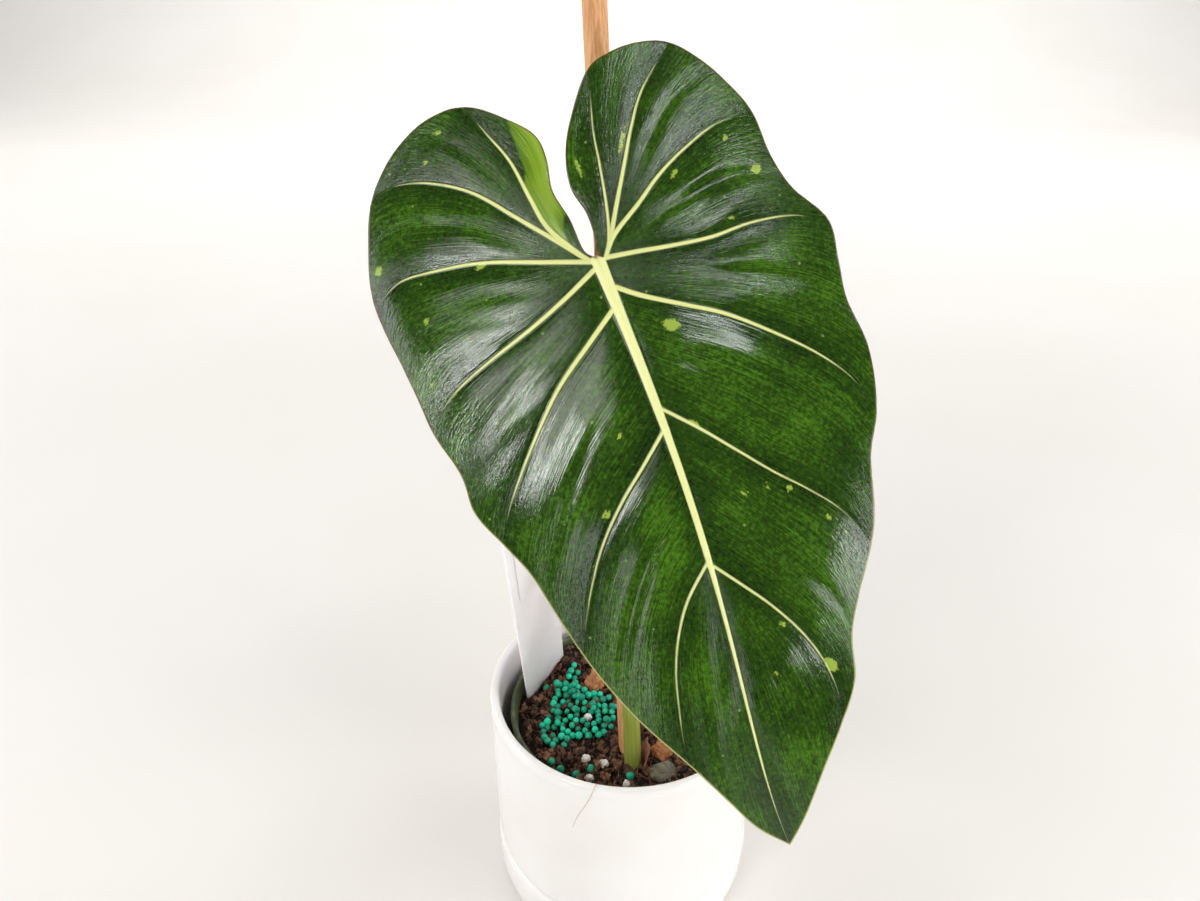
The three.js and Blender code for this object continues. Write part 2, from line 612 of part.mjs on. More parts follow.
function leafBlade() {
  const points = [];
  const faces = [];
  // Every point is a pair, above and below, so both faces get the same triangles
  const addPair = (x, y, lift, above, below) => {
    const z = bladeHeight(x, y) + lift;
    points.push([x, y, z + bladeHalfThickness + above], [x, y, z - bladeHalfThickness - below]);
    return points.length / 2 - 1;
  };
  const addFaces = (side) => (a, b, c) => {
    if (a === b || b === c || a === c) return;
    const [second, third] = side > 0 ? [b, c] : [c, b];
    faces.push([2 * a, 2 * second, 2 * third], [2 * a + 1, 2 * third + 1, 2 * second + 1]);
  };
  const notch = addPair(...leafNotch, 0, 0, 0);
  const tip = addPair(leafTip.x, leafTip.y, 0, 0, 0);

  const centreRow = [];
  const ribSteps = 24;
  for (let step = 0; step < ribSteps; step += 1) {
    const y = (leafTip.y * step) / ribSteps;
    const crown = 1 - 0.75 * (step / ribSteps);
    const id = addPair(midribX(y), y, 0, midribCrownAbove * crown, midribCrownBelow * crown);
    centreRow.push({ t: -y, id });
  }
  centreRow.push({ t: -leafTip.y, id: tip });

  // One half of the blade: panels between neighbouring veins, each spanned between its four edges
  function addHalf(side, marginRows, veins) {
    const margin = new THREE.SplineCurve(marginRows.map(([x, y]) => new THREE.Vector2(x, y)));
    const marginAt = (index) => margin.getPoint(index / (marginRows.length - 1));
    const lastIndex = marginRows.length - 1;
    const ribEdge = (y) => new THREE.Vector2(midribX(y) + side * midribHalf(y), y);
    const pinRibPoint = (y) => {
      const { x } = ribEdge(y);
      const crown = 0.55 * (1 - 0.75 * Math.max(0, y / leafTip.y));
      return addPair(x, y, 0, midribCrownAbove * crown, midribCrownBelow * crown);
    };
    const face = addFaces(side);

    // Edges that neighbouring panels share: where they run, and the pairs along them
    const sinusEdge = {
      at: (a) => marginAt(a * sinusCorner), end: sinusCorner, startId: notch, startY: leafNotch[1],
    };
    const fanId = pinRibPoint(veins[0].station);
    let ribStart = { station: veins[0].station, id: fanId };
    const lines = veins.map(({ station, way, end }) => {
      if (station !== ribStart.station) ribStart = { station, id: pinRibPoint(station) };
      const curve = new THREE.SplineCurve([
        ribEdge(station), ...way.map(([x, y]) => new THREE.Vector2(x, y)), marginAt(end),
      ]);
      return { at: (a) => curve.getPointAt(a), end, startId: ribStart.id, startY: station, vein: true };
    });
    const lastStation = veins[veins.length - 1].station;
    const ribLine = {
      at: (a) => ribEdge(lerp(lastStation, leafTip.y, a)),
      end: lastIndex, startId: ribStart.id, startY: lastStation, rib: true,
    };
    const edges = [sinusEdge, ...lines, ribLine];
    edges.forEach((edge) => {
      edge.ids = [edge.startId];
      for (let step = 1; step <= veinSteps; step += 1) {
        const a = step / veinSteps;
        const { x, y } = edge.at(a);
        if (edge.end === lastIndex && step === veinSteps) {
          edge.ids.push(tip);
        } else if (edge.rib) {
          edge.ids.push(pinRibPoint(y));
        } else {
          const crown = edge.vein ? 1 - a * a : 0;
          edge.ids.push(addPair(x, y, 0, veinCrownAbove * crown, veinCrownBelow * crown));
        }
      }
    });

    const ribRow = [{ t: -leafNotch[1], id: notch }];
    const rimIds = [...sinusEdge.ids];
    for (let panel = 0; panel < edges.length - 1; panel += 1) {
      const [first, second] = [edges[panel], edges[panel + 1]];
      const start = [first.at(0), second.at(0)];
      const finishPoints = [first.at(1), second.at(1)];
      const innerEdge = (t) => {
        const y = lerp(start[0].y, start[1].y, t);
        return panel === 0 ? start[0].clone().lerp(start[1], t) : ribEdge(y);
      };
      const outerEdge = (t) => marginAt(lerp(first.end, second.end, t));
      let previous = null;
      for (let step = 0; step <= veinSteps; step += 1) {
        const a = step / veinSteps;
        const [p, q] = [first.at(a), second.at(a)];
        const width = p.distanceTo(q);
        const foot = 1.7 * veinHalfWidth;
        const shares = [0];
        if (width > 5 * foot) {
          const cells = Math.max(1, Math.round((width - 2 * foot) / bladeCell));
          for (let cell = 0; cell <= cells; cell += 1) {
            shares.push(lerp(foot / width, 1 - foot / width, cell / cells));
          }
        } else if (width > 2.4) {
          shares.push(0.5);
        }
        shares.push(1);
        const row = shares.map((t) => {
          if (t === 0) return { t, id: first.ids[step] };
          if (t === 1) return { t, id: second.ids[step] };
          const inner = innerEdge(t);
          const outer = outerEdge(t);
          const spot = (key) => (1 - t) * p[key] + t * q[key] + (1 - a) * inner[key] + a * outer[key]
            - (1 - a) * ((1 - t) * start[0][key] + t * start[1][key])
            - a * ((1 - t) * finishPoints[0][key] + t * finishPoints[1][key]);
          const across = 1 - (2 * t - 1) ** 2;
          const outwards = Math.sin((Math.PI / 2) * Math.min(1, 0.12 + a / 0.4)) * (1 - 0.25 * a);
          // panels puff up between the veins, but the last one on the left dips towards the midrib
          const puff = side < 0 && second.rib ? -tipPanelDip : panelPuff;
          const lift = puff * across * outwards * Math.min(1, width / 26);
          return { t, id: addPair(spot('x'), spot('y'), lift, 0, 0) };
        });
        if (step === 0) {
          row.slice(1).forEach((point, index) => {
            const y = index === row.length - 2 ? second.startY : innerEdge(point.t).y;
            ribRow.push({ t: -y, id: point.id });
          });
        }
        if (previous !== null) stitch(previous, row, face);
        previous = row;
      }
      rimIds.push(...previous.slice(1).map((point) => point.id));
    }
    ribLine.ids.slice(1).forEach((id, index) => {
      ribRow.push({ t: -ribLine.at((index + 1) / veinSteps).y, id });
    });
    stitch(centreRow, ribRow, face);
    return rimIds;
  }

  const leftRim = addHalf(-1, leftMargin, leftVeins);
  const rightRim = addHalf(1, rightMargin, rightVeins);
  const rim = [...leftRim, ...rightRim.reverse().slice(1, -1)];
  rim.forEach((id, spot) => {
    const next = rim[(spot + 1) % rim.length];
    if (id === next) return;
    faces.push([2 * id, 2 * id + 1, 2 * next + 1], [2 * id, 2 * next + 1, 2 * next]);
  });
  return fromPoints(points, faces);
}

const leaf = addPart('leaf_blade', leafBlade(), glossyLeaf);
leaf.position.copy(leafJunction);
leaf.rotation.set(radians(leafTilt), 0, radians(leafTurn));

export default plant;
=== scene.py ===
import math
import random
from functools import partial

import bpy
import numpy as np
from mathutils import Euler, Matrix, Vector, noise


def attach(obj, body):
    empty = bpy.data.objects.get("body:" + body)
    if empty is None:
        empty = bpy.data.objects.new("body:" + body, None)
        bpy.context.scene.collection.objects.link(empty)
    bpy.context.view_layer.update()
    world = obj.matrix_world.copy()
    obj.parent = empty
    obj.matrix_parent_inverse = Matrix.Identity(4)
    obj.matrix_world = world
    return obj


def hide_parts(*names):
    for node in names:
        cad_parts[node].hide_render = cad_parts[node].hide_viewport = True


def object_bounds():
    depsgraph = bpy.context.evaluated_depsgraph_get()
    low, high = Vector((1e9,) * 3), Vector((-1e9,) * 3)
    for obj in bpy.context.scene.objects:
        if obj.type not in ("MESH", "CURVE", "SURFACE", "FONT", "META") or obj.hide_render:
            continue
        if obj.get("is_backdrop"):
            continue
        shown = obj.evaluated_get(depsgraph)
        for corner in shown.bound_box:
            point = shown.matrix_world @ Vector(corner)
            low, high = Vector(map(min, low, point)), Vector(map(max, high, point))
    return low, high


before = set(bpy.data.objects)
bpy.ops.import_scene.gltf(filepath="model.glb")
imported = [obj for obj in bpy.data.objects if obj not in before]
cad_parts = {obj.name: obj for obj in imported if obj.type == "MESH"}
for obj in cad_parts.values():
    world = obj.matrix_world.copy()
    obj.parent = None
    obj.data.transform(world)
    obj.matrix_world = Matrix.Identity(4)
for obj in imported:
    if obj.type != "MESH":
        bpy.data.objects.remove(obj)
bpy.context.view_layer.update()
mm = 0.001
fullTurn = 2 * math.pi
print("frame:", len(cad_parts), "nodes")


# Small helpers for every piece

def onlySelect(*pieces):
    bpy.ops.object.select_all(action="DESELECT")
    for piece in pieces:
        piece.select_set(True)
    if pieces:
        bpy.context.view_layer.objects.active = pieces[0]


def named(name):
    piece = bpy.context.object
    piece.name = name
    piece.data.name = name
    return piece


def mergeAndTurnOut(piece, mergeGap=0.004):
    onlySelect(piece)
    bpy.ops.object.mode_set(mode="EDIT")
    bpy.ops.mesh.select_all(action="SELECT")
    bpy.ops.mesh.remove_doubles(threshold=mergeGap * mm)
    bpy.ops.mesh.dissolve_degenerate(threshold=mergeGap * mm)
    bpy.ops.mesh.normals_make_consistent(inside=False)
    bpy.ops.object.mode_set(mode="OBJECT")
    bpy.ops.object.shade_smooth()


def mark(piece, key, values):
    # one value for all points, or a value for each, kept on the mesh for its finish to read
    spread = np.zeros(len(piece.data.vertices), np.float32)
    spread += values
    piece.data.attributes.new(key, "FLOAT", "POINT").data.foreach_set("value", spread)


def addSheet(name, points, flow=None):
    # a grid primitive with each point put in its place; flow is kept as its map
    rows, columns = points.shape[:2]
    onlySelect()
    bpy.ops.mesh.primitive_grid_add(x_subdivisions=columns - 1, y_subdivisions=rows - 1, size=1)
    piece = named(name)
    piece.data.vertices.foreach_set("co", (points.reshape(-1, 3) * mm).ravel())
    if flow is not None:
        corners = np.zeros(len(piece.data.loops), int)
        piece.data.loops.foreach_get("vertex_index", corners)
        piece.data.uv_layers[0].name = "flow"
        piece.data.uv_layers[0].data.foreach_set("uv", flow.reshape(-1, 2)[corners].ravel())
    piece.data.update()
    return piece


def joined(name, pieces):
    onlySelect(*pieces)
    bpy.ops.object.join()
    return named(name)


def applyModifier(piece, kind, **settings):
    onlySelect(piece)
    modifier = piece.modifiers.new(kind, kind)
    for key, value in settings.items():
        setattr(modifier, key, value)
    bpy.ops.object.modifier_apply(modifier=modifier.name)


def seat(piece, material, slot, *nodes):
    piece.data.materials.clear()
    piece.data.materials.append(material)
    if nodes:
        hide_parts(*nodes)
    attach(piece, "root")


def polar(radius, angle):
    return radius * math.cos(angle), radius * math.sin(angle)


def placement(at, *turns):
    # a place and the turns made there, each in degrees about an axis
    matrix = Matrix.Translation(at)
    for degrees, axis in turns:
        matrix = matrix @ Matrix.Rotation(math.radians(degrees), 4, axis)
    return matrix


def splineAt(points, spots, power=0.0):
    # smooth line through points, at places counted in points; power 0 is even, 0.5 follows the distances
    points = np.asarray(points, float)
    last = len(points) - 1
    spots = np.clip(np.asarray(spots, float), 0, last)
    start = np.minimum(spots.astype(int), last - 1)
    share = (spots - start)[:, None]
    before = points[0] if power == 0 else 2 * points[0] - points[1]
    after = points[-1] if power == 0 else 2 * points[-1] - points[-2]
    padded = np.vstack([before, points, after])
    p0, p1, p2, p3 = (padded[start + step] for step in range(4))
    step0, step1, step2 = (
        np.linalg.norm(b - a, axis=1)[:, None] ** power for a, b in ((p0, p1), (p1, p2), (p2, p3)))
    pull1 = ((p1 - p0) / step0 - (p2 - p0) / (step0 + step1) + (p2 - p1) / step1) * step1
    pull2 = ((p2 - p1) / step1 - (p3 - p1) / (step1 + step2) + (p3 - p2) / step2) * step1
    return (p1 + pull1 * share + (3 * (p2 - p1) - 2 * pull1 - pull2) * share ** 2
            + (2 * (p1 - p2) + pull1 + pull2) * share ** 3)


def evenSpline(points, shares, power=0.0):
    # the same line, at shares of its length
    fine = splineAt(points, np.linspace(0, len(points) - 1, 900), power)
    length = np.concatenate([[0], np.cumsum(np.linalg.norm(np.diff(fine, axis=0), axis=1))])
    wanted = np.asarray(shares) * length[-1]
    return np.stack([np.interp(wanted, length, fine[:, axis]) for axis in range(fine.shape[1])], 1)


def tubeAlong(name, line, radii, sides, ripple=None):
    # a round tube on a line of close points, both ends closed; ripple(angle, share) scales its radius
    line = np.asarray(line, float)
    ahead = np.gradient(line, axis=0)
    ahead /= np.linalg.norm(ahead, axis=1)[:, None]
    across = np.cross(ahead[0], (0.31, 0.87, 0.38))
    rings = []
    shares = np.linspace(0, 1, len(line))
    angles = np.linspace(0, 2 * math.pi, sides + 1)
    for spot, share in enumerate(shares):
        across = across - ahead[spot] * np.dot(across, ahead[spot])
        across /= np.linalg.norm(across)
        aside = np.cross(ahead[spot], across)
        radius = radii[spot] * (np.ones(sides + 1) if ripple is None else ripple(angles, share))
        rings.append(line[spot] + np.cos(angles)[:, None] * across * radius[:, None]
                     + np.sin(angles)[:, None] * aside * radius[:, None])
    ends = [np.tile(line[spot], (sides + 1, 1)) for spot in (0, -1)]
    points = np.stack([ends[0], *rings, ends[1]])
    run = np.concatenate([[0], shares, [1]]) * np.linalg.norm(np.diff(line, axis=0), axis=1).sum()
    flow = np.stack(np.meshgrid(angles * radii.max(), run), -1)
    piece = addSheet(name, points, flow=flow)
    mergeAndTurnOut(piece)
    return piece


def stemAlong(name, look, ripple=None):
    # a tube on a smooth line through the look's path, its radius running evenly between the look's two
    line = evenSpline(look["path"], np.linspace(0, 1, look["rings"]), 0.5)
    return tubeAlong(name, line, np.linspace(*look["radii"], look["rings"]), look["sides"], ripple)


def turnedWall(name, profile, sides=96, level=2):
    # a circle extruded along a profile of (radius, height), closed where it meets itself or the axis
    onlySelect()
    bpy.ops.mesh.primitive_circle_add(vertices=sides, radius=profile[0][0] * mm, location=(0, 0, 0))
    piece = named(name)
    bpy.ops.object.mode_set(mode="EDIT")
    bpy.ops.mesh.select_all(action="SELECT")
    bpy.ops.transform.translate(value=(0, 0, profile[0][1] * mm))
    for (radius, height), (nextRadius, nextHeight) in zip(profile, profile[1:]):
        bpy.ops.mesh.extrude_region_move(
            TRANSFORM_OT_translate={"value": (0, 0, (nextHeight - height) * mm)})
        grow = nextRadius / radius
        bpy.ops.transform.resize(value=(grow, grow, 1), center_override=(0, 0, nextHeight * mm))
    bpy.ops.object.mode_set(mode="OBJECT")
    mergeAndTurnOut(piece, 0.05)
    applyModifier(piece, "SUBSURF", levels=level, render_levels=level)
    return piece


def lumpy(spot, size):
    return noise.noise(Vector(spot) / size)


# Colours and nodes

def colour(code):
    # sRGB hex to linear
    parts = [int(code[at:at + 2], 16) / 255 for at in (1, 3, 5)]
    return (*[part / 12.92 if part <= 0.04045 else ((part + 0.055) / 1.055) ** 2.4 for part in parts], 1)


def feed(tree, socket, value):
    # a node stands for its first live output, and anything that isn't a node or socket is a constant
    if isinstance(value, bpy.types.Node):
        value = next(output for output in value.outputs if output.enabled)
    if isinstance(value, bpy.types.NodeSocket):
        tree.links.new(value, socket)
    else:
        socket.default_value = value


def addNode(tree, kind, inputs=(), size=None, stops=None, **settings):
    # inputs go by name or in order; size is a pattern's real size in mm; stops are a ramp's places and colours
    node = tree.nodes.new("ShaderNode" + kind)
    for key, value in settings.items():
        setattr(node, key, value)
    for socket, value in inputs.items() if isinstance(inputs, dict) else enumerate(inputs):
        feed(tree, node.inputs[socket], value)
    if size:
        node.inputs["Scale"].default_value = 1 / (size * mm)
    if stops:
        elements = node.color_ramp.elements
        for place, code in stops[2:]:
            elements.new(place)
        for element, (place, code) in zip(elements, sorted(stops)):
            element.position = place
            element.color = colour(code)
    return node


def newMaterial(name, uvMap=None):
    # a material, what adds its nodes, and what its patterns lie on: object coordinates or a map of the piece
    material = bpy.data.materials.new(name)
    material.use_nodes = True
    add = partial(addNode, material.node_tree)
    if uvMap:
        return material, add, add("UVMap", uv_map=uvMap)
    return material, add, add("TexCoord").outputs["Object"]


def finished(material, tint, relief=None, **values):
    # sets the shader; relief is a height, its strength and its depth, and the rest is named for the sockets
    tree = material.node_tree
    values["Base Color"] = tint
    if relief:
        height, strength, depth = relief
        settings = {"Height": height, "Strength": strength, "Distance": depth * mm}
        values["Normal"] = addNode(tree, "Bump", settings)
    for key, value in values.items():
        feed(tree, tree.nodes["Principled BSDF"].inputs[key.replace("_", " ")], value)
    return material


def makeMottled(name, size, detail, stops, relief=None, **values):
    # one noise clouds the colour and, where relief has a strength and a depth, roughens the skin
    material, add, place = newMaterial(name)
    cloud = add("TexNoise", {"Vector": place, "Detail": detail}, size)
    tint = add("ValToRGB", [cloud], stops=stops)
    return finished(material, tint, relief and (cloud, *relief), **values)


def makeCeramicGlaze():
    # white tin glaze over stoneware, dipped and fired: an even milky white with a soft wet gloss
    material, add, place = newMaterial("whiteCeramicGlaze")
    cloud = add("TexNoise", {"Vector": place, "Detail": 2}, 60)
    tint = add("ValToRGB", [cloud], stops=[(0.3, "#efece8"), (0.7, "#f6f4f3")])
    # orange peel of the glaze, about 3 mm across and very shallow
    peel = add("TexNoise", {"Vector": place, "Detail": 1}, 3)
    gloss = add("MapRange", [cloud, 0, 1, 0.2, 0.28])
    return finished(material, tint, (peel, 0.04, 0.3), Roughness=gloss, IOR=1.5, Coat_Weight=0.25,
                    Coat_Roughness=0.12)


def makeCoirMix():
    # damp coir and peat with fine bark: red-brown on the raised bits, with painted shade, nearly black, in the
    # gaps between them
    material, add, place = newMaterial("coirAndPeat")
    crumb = add("TexNoise", {"Vector": place, "Detail": 6, "Roughness": 0.7}, 2.2)
    speck = add("TexVoronoi", {"Vector": place}, 1.1)
    # painted shade: the low places of the same noise that gives the relief go near black
    tint = add("ValToRGB", [crumb],
               stops=[(0.32, "#0a0604"), (0.78, "#5a3b28"), (0.5, "#1d110b"), (0.62, "#382316")])
    shade = add("Mix", {0: 0.35, 6: tint, 7: speck.outputs["Color"]}, data_type="RGBA",
                blend_type="SOFT_LIGHT")
    return finished(material, shade, (crumb, 0.8, 0.6), Roughness=0.85, IOR=1.4)


def makePlantLitter(name, dark, light, roughness=0.85, grain=1.3):
    # dry plant matter, torn or broken: dull and grainy, each bit with the tint that its points carry
    material, add, place = newMaterial(name)
    own = add("Attribute", attribute_name="tint").outputs["Fac"]
    grains = add("TexNoise", {"Vector": place, "Detail": 5, "Roughness": 0.65}, grain)
    level = add("Math", [own, grains], operation="MULTIPLY")
    tint = add("ValToRGB", [level], stops=[(0.08, dark), (0.6, light)])
    return finished(material, tint, (grains, 0.7, 0.3), Roughness=roughness, IOR=1.45)


def makeCoatedPrill():
    # resin-coated fertiliser prills, drum tumbled: teal with a faint dusty bloom
    material, add, place = newMaterial("tealResinPrill")
    own = add("Attribute", attribute_name="tint").outputs["Fac"]
    bloom = add("TexNoise", {"Vector": place, "Detail": 3}, 1.6)
    # the points' tint picks the teal, and is lower on the deeper prills as painted shade
    tint = add("ValToRGB", [own],
               stops=[(0.0, "#066d59"), (1.0, "#1ce6b6"), (0.45, "#08ab86"), (0.8, "#10cda2")])
    dust = add("MapRange", [bloom, 0.52, 0.8, 0, 0.3])
    shade = add("Mix", {0: dust, 6: tint, 7: colour("#5b8f80")}, data_type="RGBA")
    return finished(material, shade, (bloom, 0.25, 0.2), Roughness=0.38, IOR=1.5, Subsurface_Weight=0.15,
                    Subsurface_Scale=0.8 * mm)


def makePerlite():
    # expanded perlite: bright white foamed mineral with open pores, stained where damp
    material, add, place = newMaterial("expandedPerlite")
    pore = add("TexVoronoi", {"Vector": place}, 0.7)
    stain = add("TexNoise", {"Vector": place, "Detail": 3}, 1.8)
    tint = add("ValToRGB", [stain], stops=[(0.3, "#bba892"), (0.55, "#faf7f2")])
    return finished(material, tint, (pore, 0.6, 0.3), Roughness=0.9, IOR=1.45)


def makeStem(name, dark, light, length, width, roughness, depth):
    # skin of a stem: marks drawn out along it, read from the piece's own flow map (x round it, y along it)
    material, add, flow = newMaterial(name, "flow")
    drawnOut = add("Mapping", {"Vector": flow, "Scale": (1 / width, 1 / length, 1)})
    stripe = add("TexNoise", {"Vector": drawnOut, "Scale": 1, "Detail": 4, "Roughness": 0.6})
    tint = add("ValToRGB", [stripe], stops=[(0.3, dark), (0.7, light)])
    return finished(material, tint, (stripe, 0.5, depth), Roughness=roughness, IOR=1.42)


# Glazed pot and saucer, turned from the same profiles as the frame's solids
potSize = {
    "saucer": [
        (0.02, 0), (49, 0), (52, 0), (55.6, 1), (57.4, 3.4), (57.9, 8), (58.1, 17), (58, 20.4), (57.2, 22),
        (55.6, 22.8), (53, 22.8), (52.2, 21.8), (51.4, 17), (51.2, 8), (49.5, 5), (46, 5), (0.02, 5)],
    "pot": [
        (6, 5.3), (30, 5.3), (48.4, 5.3), (50.6, 7.3), (50.6, 21.6), (50.9, 22.9), (51.6, 23.1), (55.9, 23.1),
        (56.9, 23.6), (57.3, 25), (57.5, 40), (57.7, 80), (57.7, 96), (57.95, 98.4), (58, 100.4),
        (57.7, 102), (57, 102.8), (56, 103), (55, 102.7), (54.3, 101.8), (53.9, 99.8), (53.7, 96),
        (52.4, 30), (47.8, 22), (45.5, 14), (43.5, 11.3), (38, 11.3), (6, 11.3), (6, 5.3)],
    "nursery": [
        (0.02, 11.6), (30, 11.6), (36.2, 11.6), (37.4, 12.8), (42.6, 49), (48, 85.6), (48.4, 86.6),
        (49.4, 87.1), (49.8, 87.8), (49.8, 90.2), (49.3, 91), (48.5, 91.1), (47.9, 90.6), (47.3, 88),
        (46.9, 85), (41.6, 49), (36.3, 13.6), (35.4, 13.2), (30, 13.2), (0.02, 13.2)],
    "drainHoles": 6,
    "drainRadius": 4,
    "drainCircle": 27,
}

glaze = makeCeramicGlaze()
for name, node in (("glazedSaucer", "saucer"), ("glazedPot", "pot")):
    seat(turnedWall(name, potSize[node]), glaze, "glaze", node)

nurseryPot = turnedWall("nurseryPot", potSize["nursery"])
drains = []
for hole in range(potSize["drainHoles"]):
    x, y = polar(potSize["drainCircle"] * mm, fullTurn * hole / potSize["drainHoles"])
    onlySelect()
    bpy.ops.mesh.primitive_cylinder_add(vertices=24, radius=potSize["drainRadius"] * mm, depth=8 * mm,
                                        location=(x, y, 12 * mm))
    drains.append(bpy.context.object)
drill = joined("drill", drains)
bpy.ops.object.transform_apply()
applyModifier(nurseryPot, "BOOLEAN", object=drill, operation="DIFFERENCE", solver="EXACT")
bpy.data.objects.remove(drill)
# dark grey-green polypropylene, thin and injection moulded: dull sheen, fine handling scuffs
nurseryPlastic = makeMottled("mouldedPolypropylene", 5, 5, [(0.35, "#3a4430"), (0.75, "#66714f")],
                             (0.15, 0.2), Roughness=0.42, IOR=1.49)
seat(nurseryPot, nurseryPlastic, "nursery_plastic", "nursery_pot")
print("pots turned")


# Potting mix: a lumpy body, with crumbs and fibres strewn over it
mixLook = {
    "level": 83.6, "topRadius": 46.3, "bottomRadius": 35.9, "bottom": 13.5, "sides": 180, "rings": 78,
    "mounds": [(6, -27, 27, 13, 12), (2, -18, 0, 15, 17)],  # height, x and y, half width in x and y
    "crumbs": 2300, "crumbSizes": (0.5, 0.6, 0.8, 0.9, 1.1, 1.3, 1.9), "fibres": 230, "seed": 12,
}


def ground(x, y):
    # level, with a mound behind on the left and a low heap in front of it
    height = mixLook["level"]
    for rise, middleX, middleY, halfX, halfY in mixLook["mounds"]:
        height += rise * math.exp(-((x - middleX) / halfX) ** 2 - ((y - middleY) / halfY) ** 2)
    return height


def mixHeight(x, y):
    # lumps 7 and 3.2 mm across, and grains of 1.4 mm
    coarse = 1.5 * lumpy((x, y, 3), 7) + 1.1 * lumpy((x, y, 9), 3.2)
    fine = 0.5 * lumpy((x, y, 5), 1.4)
    return ground(x, y) + coarse + fine


granuleOutline = [
    (-25, 23), (-20.5, 20), (-19.5, 11), (-11, 7.5), (-5, 5), (-4.6, -9), (-10, -15.5), (-20, -17),
    (-27, -23), (-33, -20), (-36, -9), (-32, -2), (-32, 7), (-28.5, 14)]


def insideOutline(x, y, outline):
    inside = False
    for (x0, y0), (x1, y1) in zip(outline, outline[1:] + outline[:1]):
        if (y0 > y) != (y1 > y) and x < x0 + (y - y0) / (y1 - y0) * (x1 - x0):
            inside = not inside
    return inside


def mixBody():
    angles = np.linspace(0, fullTurn, mixLook["sides"] + 1)
    low, narrow, wide = mixLook["bottom"], mixLook["bottomRadius"], mixLook["topRadius"]
    wallTop = mixLook["level"] - 3
    wall = [(0, low), (narrow, low)]
    wall += [(narrow + (wide - narrow) * share, low + (wallTop - low) * share) for share in (0.35, 0.7, 1)]
    rings = [[(*polar(radius, angle), height) for angle in angles] for radius, height in wall]
    for ring in range(mixLook["rings"] + 1):
        radius = wide * (1 - ring / mixLook["rings"])
        places = [polar(radius, angle) for angle in angles]
        rings.append([(x, y, mixHeight(x, y)) for x, y in places])
    body = addSheet("pottingMix", np.array(rings))
    mergeAndTurnOut(body)
    return body


def roundModel(detail):
    onlySelect()
    bpy.ops.mesh.primitive_ico_sphere_add(subdivisions=detail, radius=1)
    return bpy.context.object


def roughModel(seed, detail, spread):
    # a ball pushed in and out, in broad lumps and half as far in small ones
    model = roundModel(detail)
    shift = Vector((seed * 3.1, seed * 1.7, seed * 0.9))
    for point in model.data.vertices:
        broad, small = noise.noise(point.co * 1.6 + shift), noise.noise(point.co * 3.7 + shift)
        point.co *= 1 + spread * broad + 0.5 * spread * small
    return model


def strewn(name, models, placings, smooth=True):
    # a copy of a model for each placing: (model, place, turn, size, tint), all in one piece
    copies = []
    for model, place, turn, size, tint in placings:
        copy = models[model].copy()
        copy.data = models[model].data.copy()
        bpy.context.collection.objects.link(copy)
        scale = Matrix.Diagonal((*[part * mm for part in size], 1))
        turned = Euler(turn).to_matrix().to_4x4()
        copy.data.transform(Matrix.Translation(Vector(place) * mm) @ turned @ scale)
        mark(copy, "tint", tint)
        copies.append(copy)
    for model in models:
        bpy.data.objects.remove(model)
    piece = joined(name, copies)
    if smooth:
        bpy.ops.object.shade_smooth()
    return piece


def randomTurn():
    return tuple(random.uniform(0, fullTurn) for axis in range(3))


def onMix(margin):
    radius = (mixLook["topRadius"] - margin) * math.sqrt(random.random())
    return polar(radius, random.uniform(0, fullTurn))


seat(mixBody(), makeCoirMix(), "potting_mix", "potting_mix")

crumbModels = [roughModel(seed, 2, 0.95) for seed in range(8)]
random.seed(mixLook["seed"])
crumbPlaces = []
while len(crumbPlaces) < mixLook["crumbs"]:
    x, y = onMix(1.5)
    size = random.choice(mixLook["crumbSizes"])
    # few lie where the prills will
    if insideOutline(x, y, granuleOutline) and random.random() < 0.75:
        continue
    crumbPlaces.append((
        random.randrange(len(crumbModels)), (x, y, mixHeight(x, y) + size * random.uniform(0.0, 0.5)),
        randomTurn(), (size, size * random.uniform(0.5, 1), size * random.uniform(0.4, 0.8)),
        random.uniform(0.1, 1)))
crumbs = strewn("mixCrumbs", crumbModels, crumbPlaces, False)
# milled coir and peat, damp: near black to red-brown
seat(crumbs, makePlantLitter("coirCrumb", "#0f0806", "#996c51", 0.7), "potting_mix")

fibreParts = []
fibreShares = [step / 6 for step in range(7)]
fibreTaper = np.array([1 - 0.6 * abs(2 * share - 1) for share in fibreShares])
for fibre in range(mixLook["fibres"]):
    x, y = onMix(4)
    length = random.uniform(3, 9)
    heading = random.uniform(0, fullTurn)
    bend = random.uniform(-0.5, 0.5)
    line = []
    for share in fibreShares:
        aside, along = polar(length * (share - 0.5), heading + bend * share)
        px, py = x + aside, y + along
        # pulled back inside the nursery pot, and arched up off the mix
        keep = min(1, (mixLook["topRadius"] - 0.8) / max(math.hypot(px, py), 1e-6))
        arch = 1.2 * math.sin(math.pi * share) * random.uniform(0.5, 1)
        line.append((px * keep, py * keep, mixHeight(px * keep, py * keep) + 0.3 + arch))
    part = tubeAlong("fibre", line, random.uniform(0.12, 0.32) * fibreTaper, 5)
    mark(part, "tint", random.uniform(0.4, 1.1))
    fibreParts.append(part)
fibres = joined("coirFibres", fibreParts)
# coir fibre, stripped from the husk and dried: mid brown
seat(fibres, makePlantLitter("coirFibre", "#3a2015", "#a5714c"), "potting_mix")
print("potting mix laid")


# Prills: the heap and the strays, tumbled balls that lie on the mix and on each other
prillLook = {
    "radius": 1.5, "spacing": 2.55, "tries": 3000, "onTop": 0.22, "seed": 7,
    "lift": 1.5, "unevenness": 0.9,  # the lowest layer's height over the mix, and how far it varies
    "keepClear": [(-13.4, 15.6, 5), (-15.8, -6.3, 2.6)],  # x, y and radius: bark and perlite in the heap
    "strays": [(-29.5, -29), (-25.5, -32.6), (-19, -35), (-13.2, -31.6), (3, -34.4), (-35.6, 11.4)],
    "straySize": (1.7, 1.62, 1.7),
}

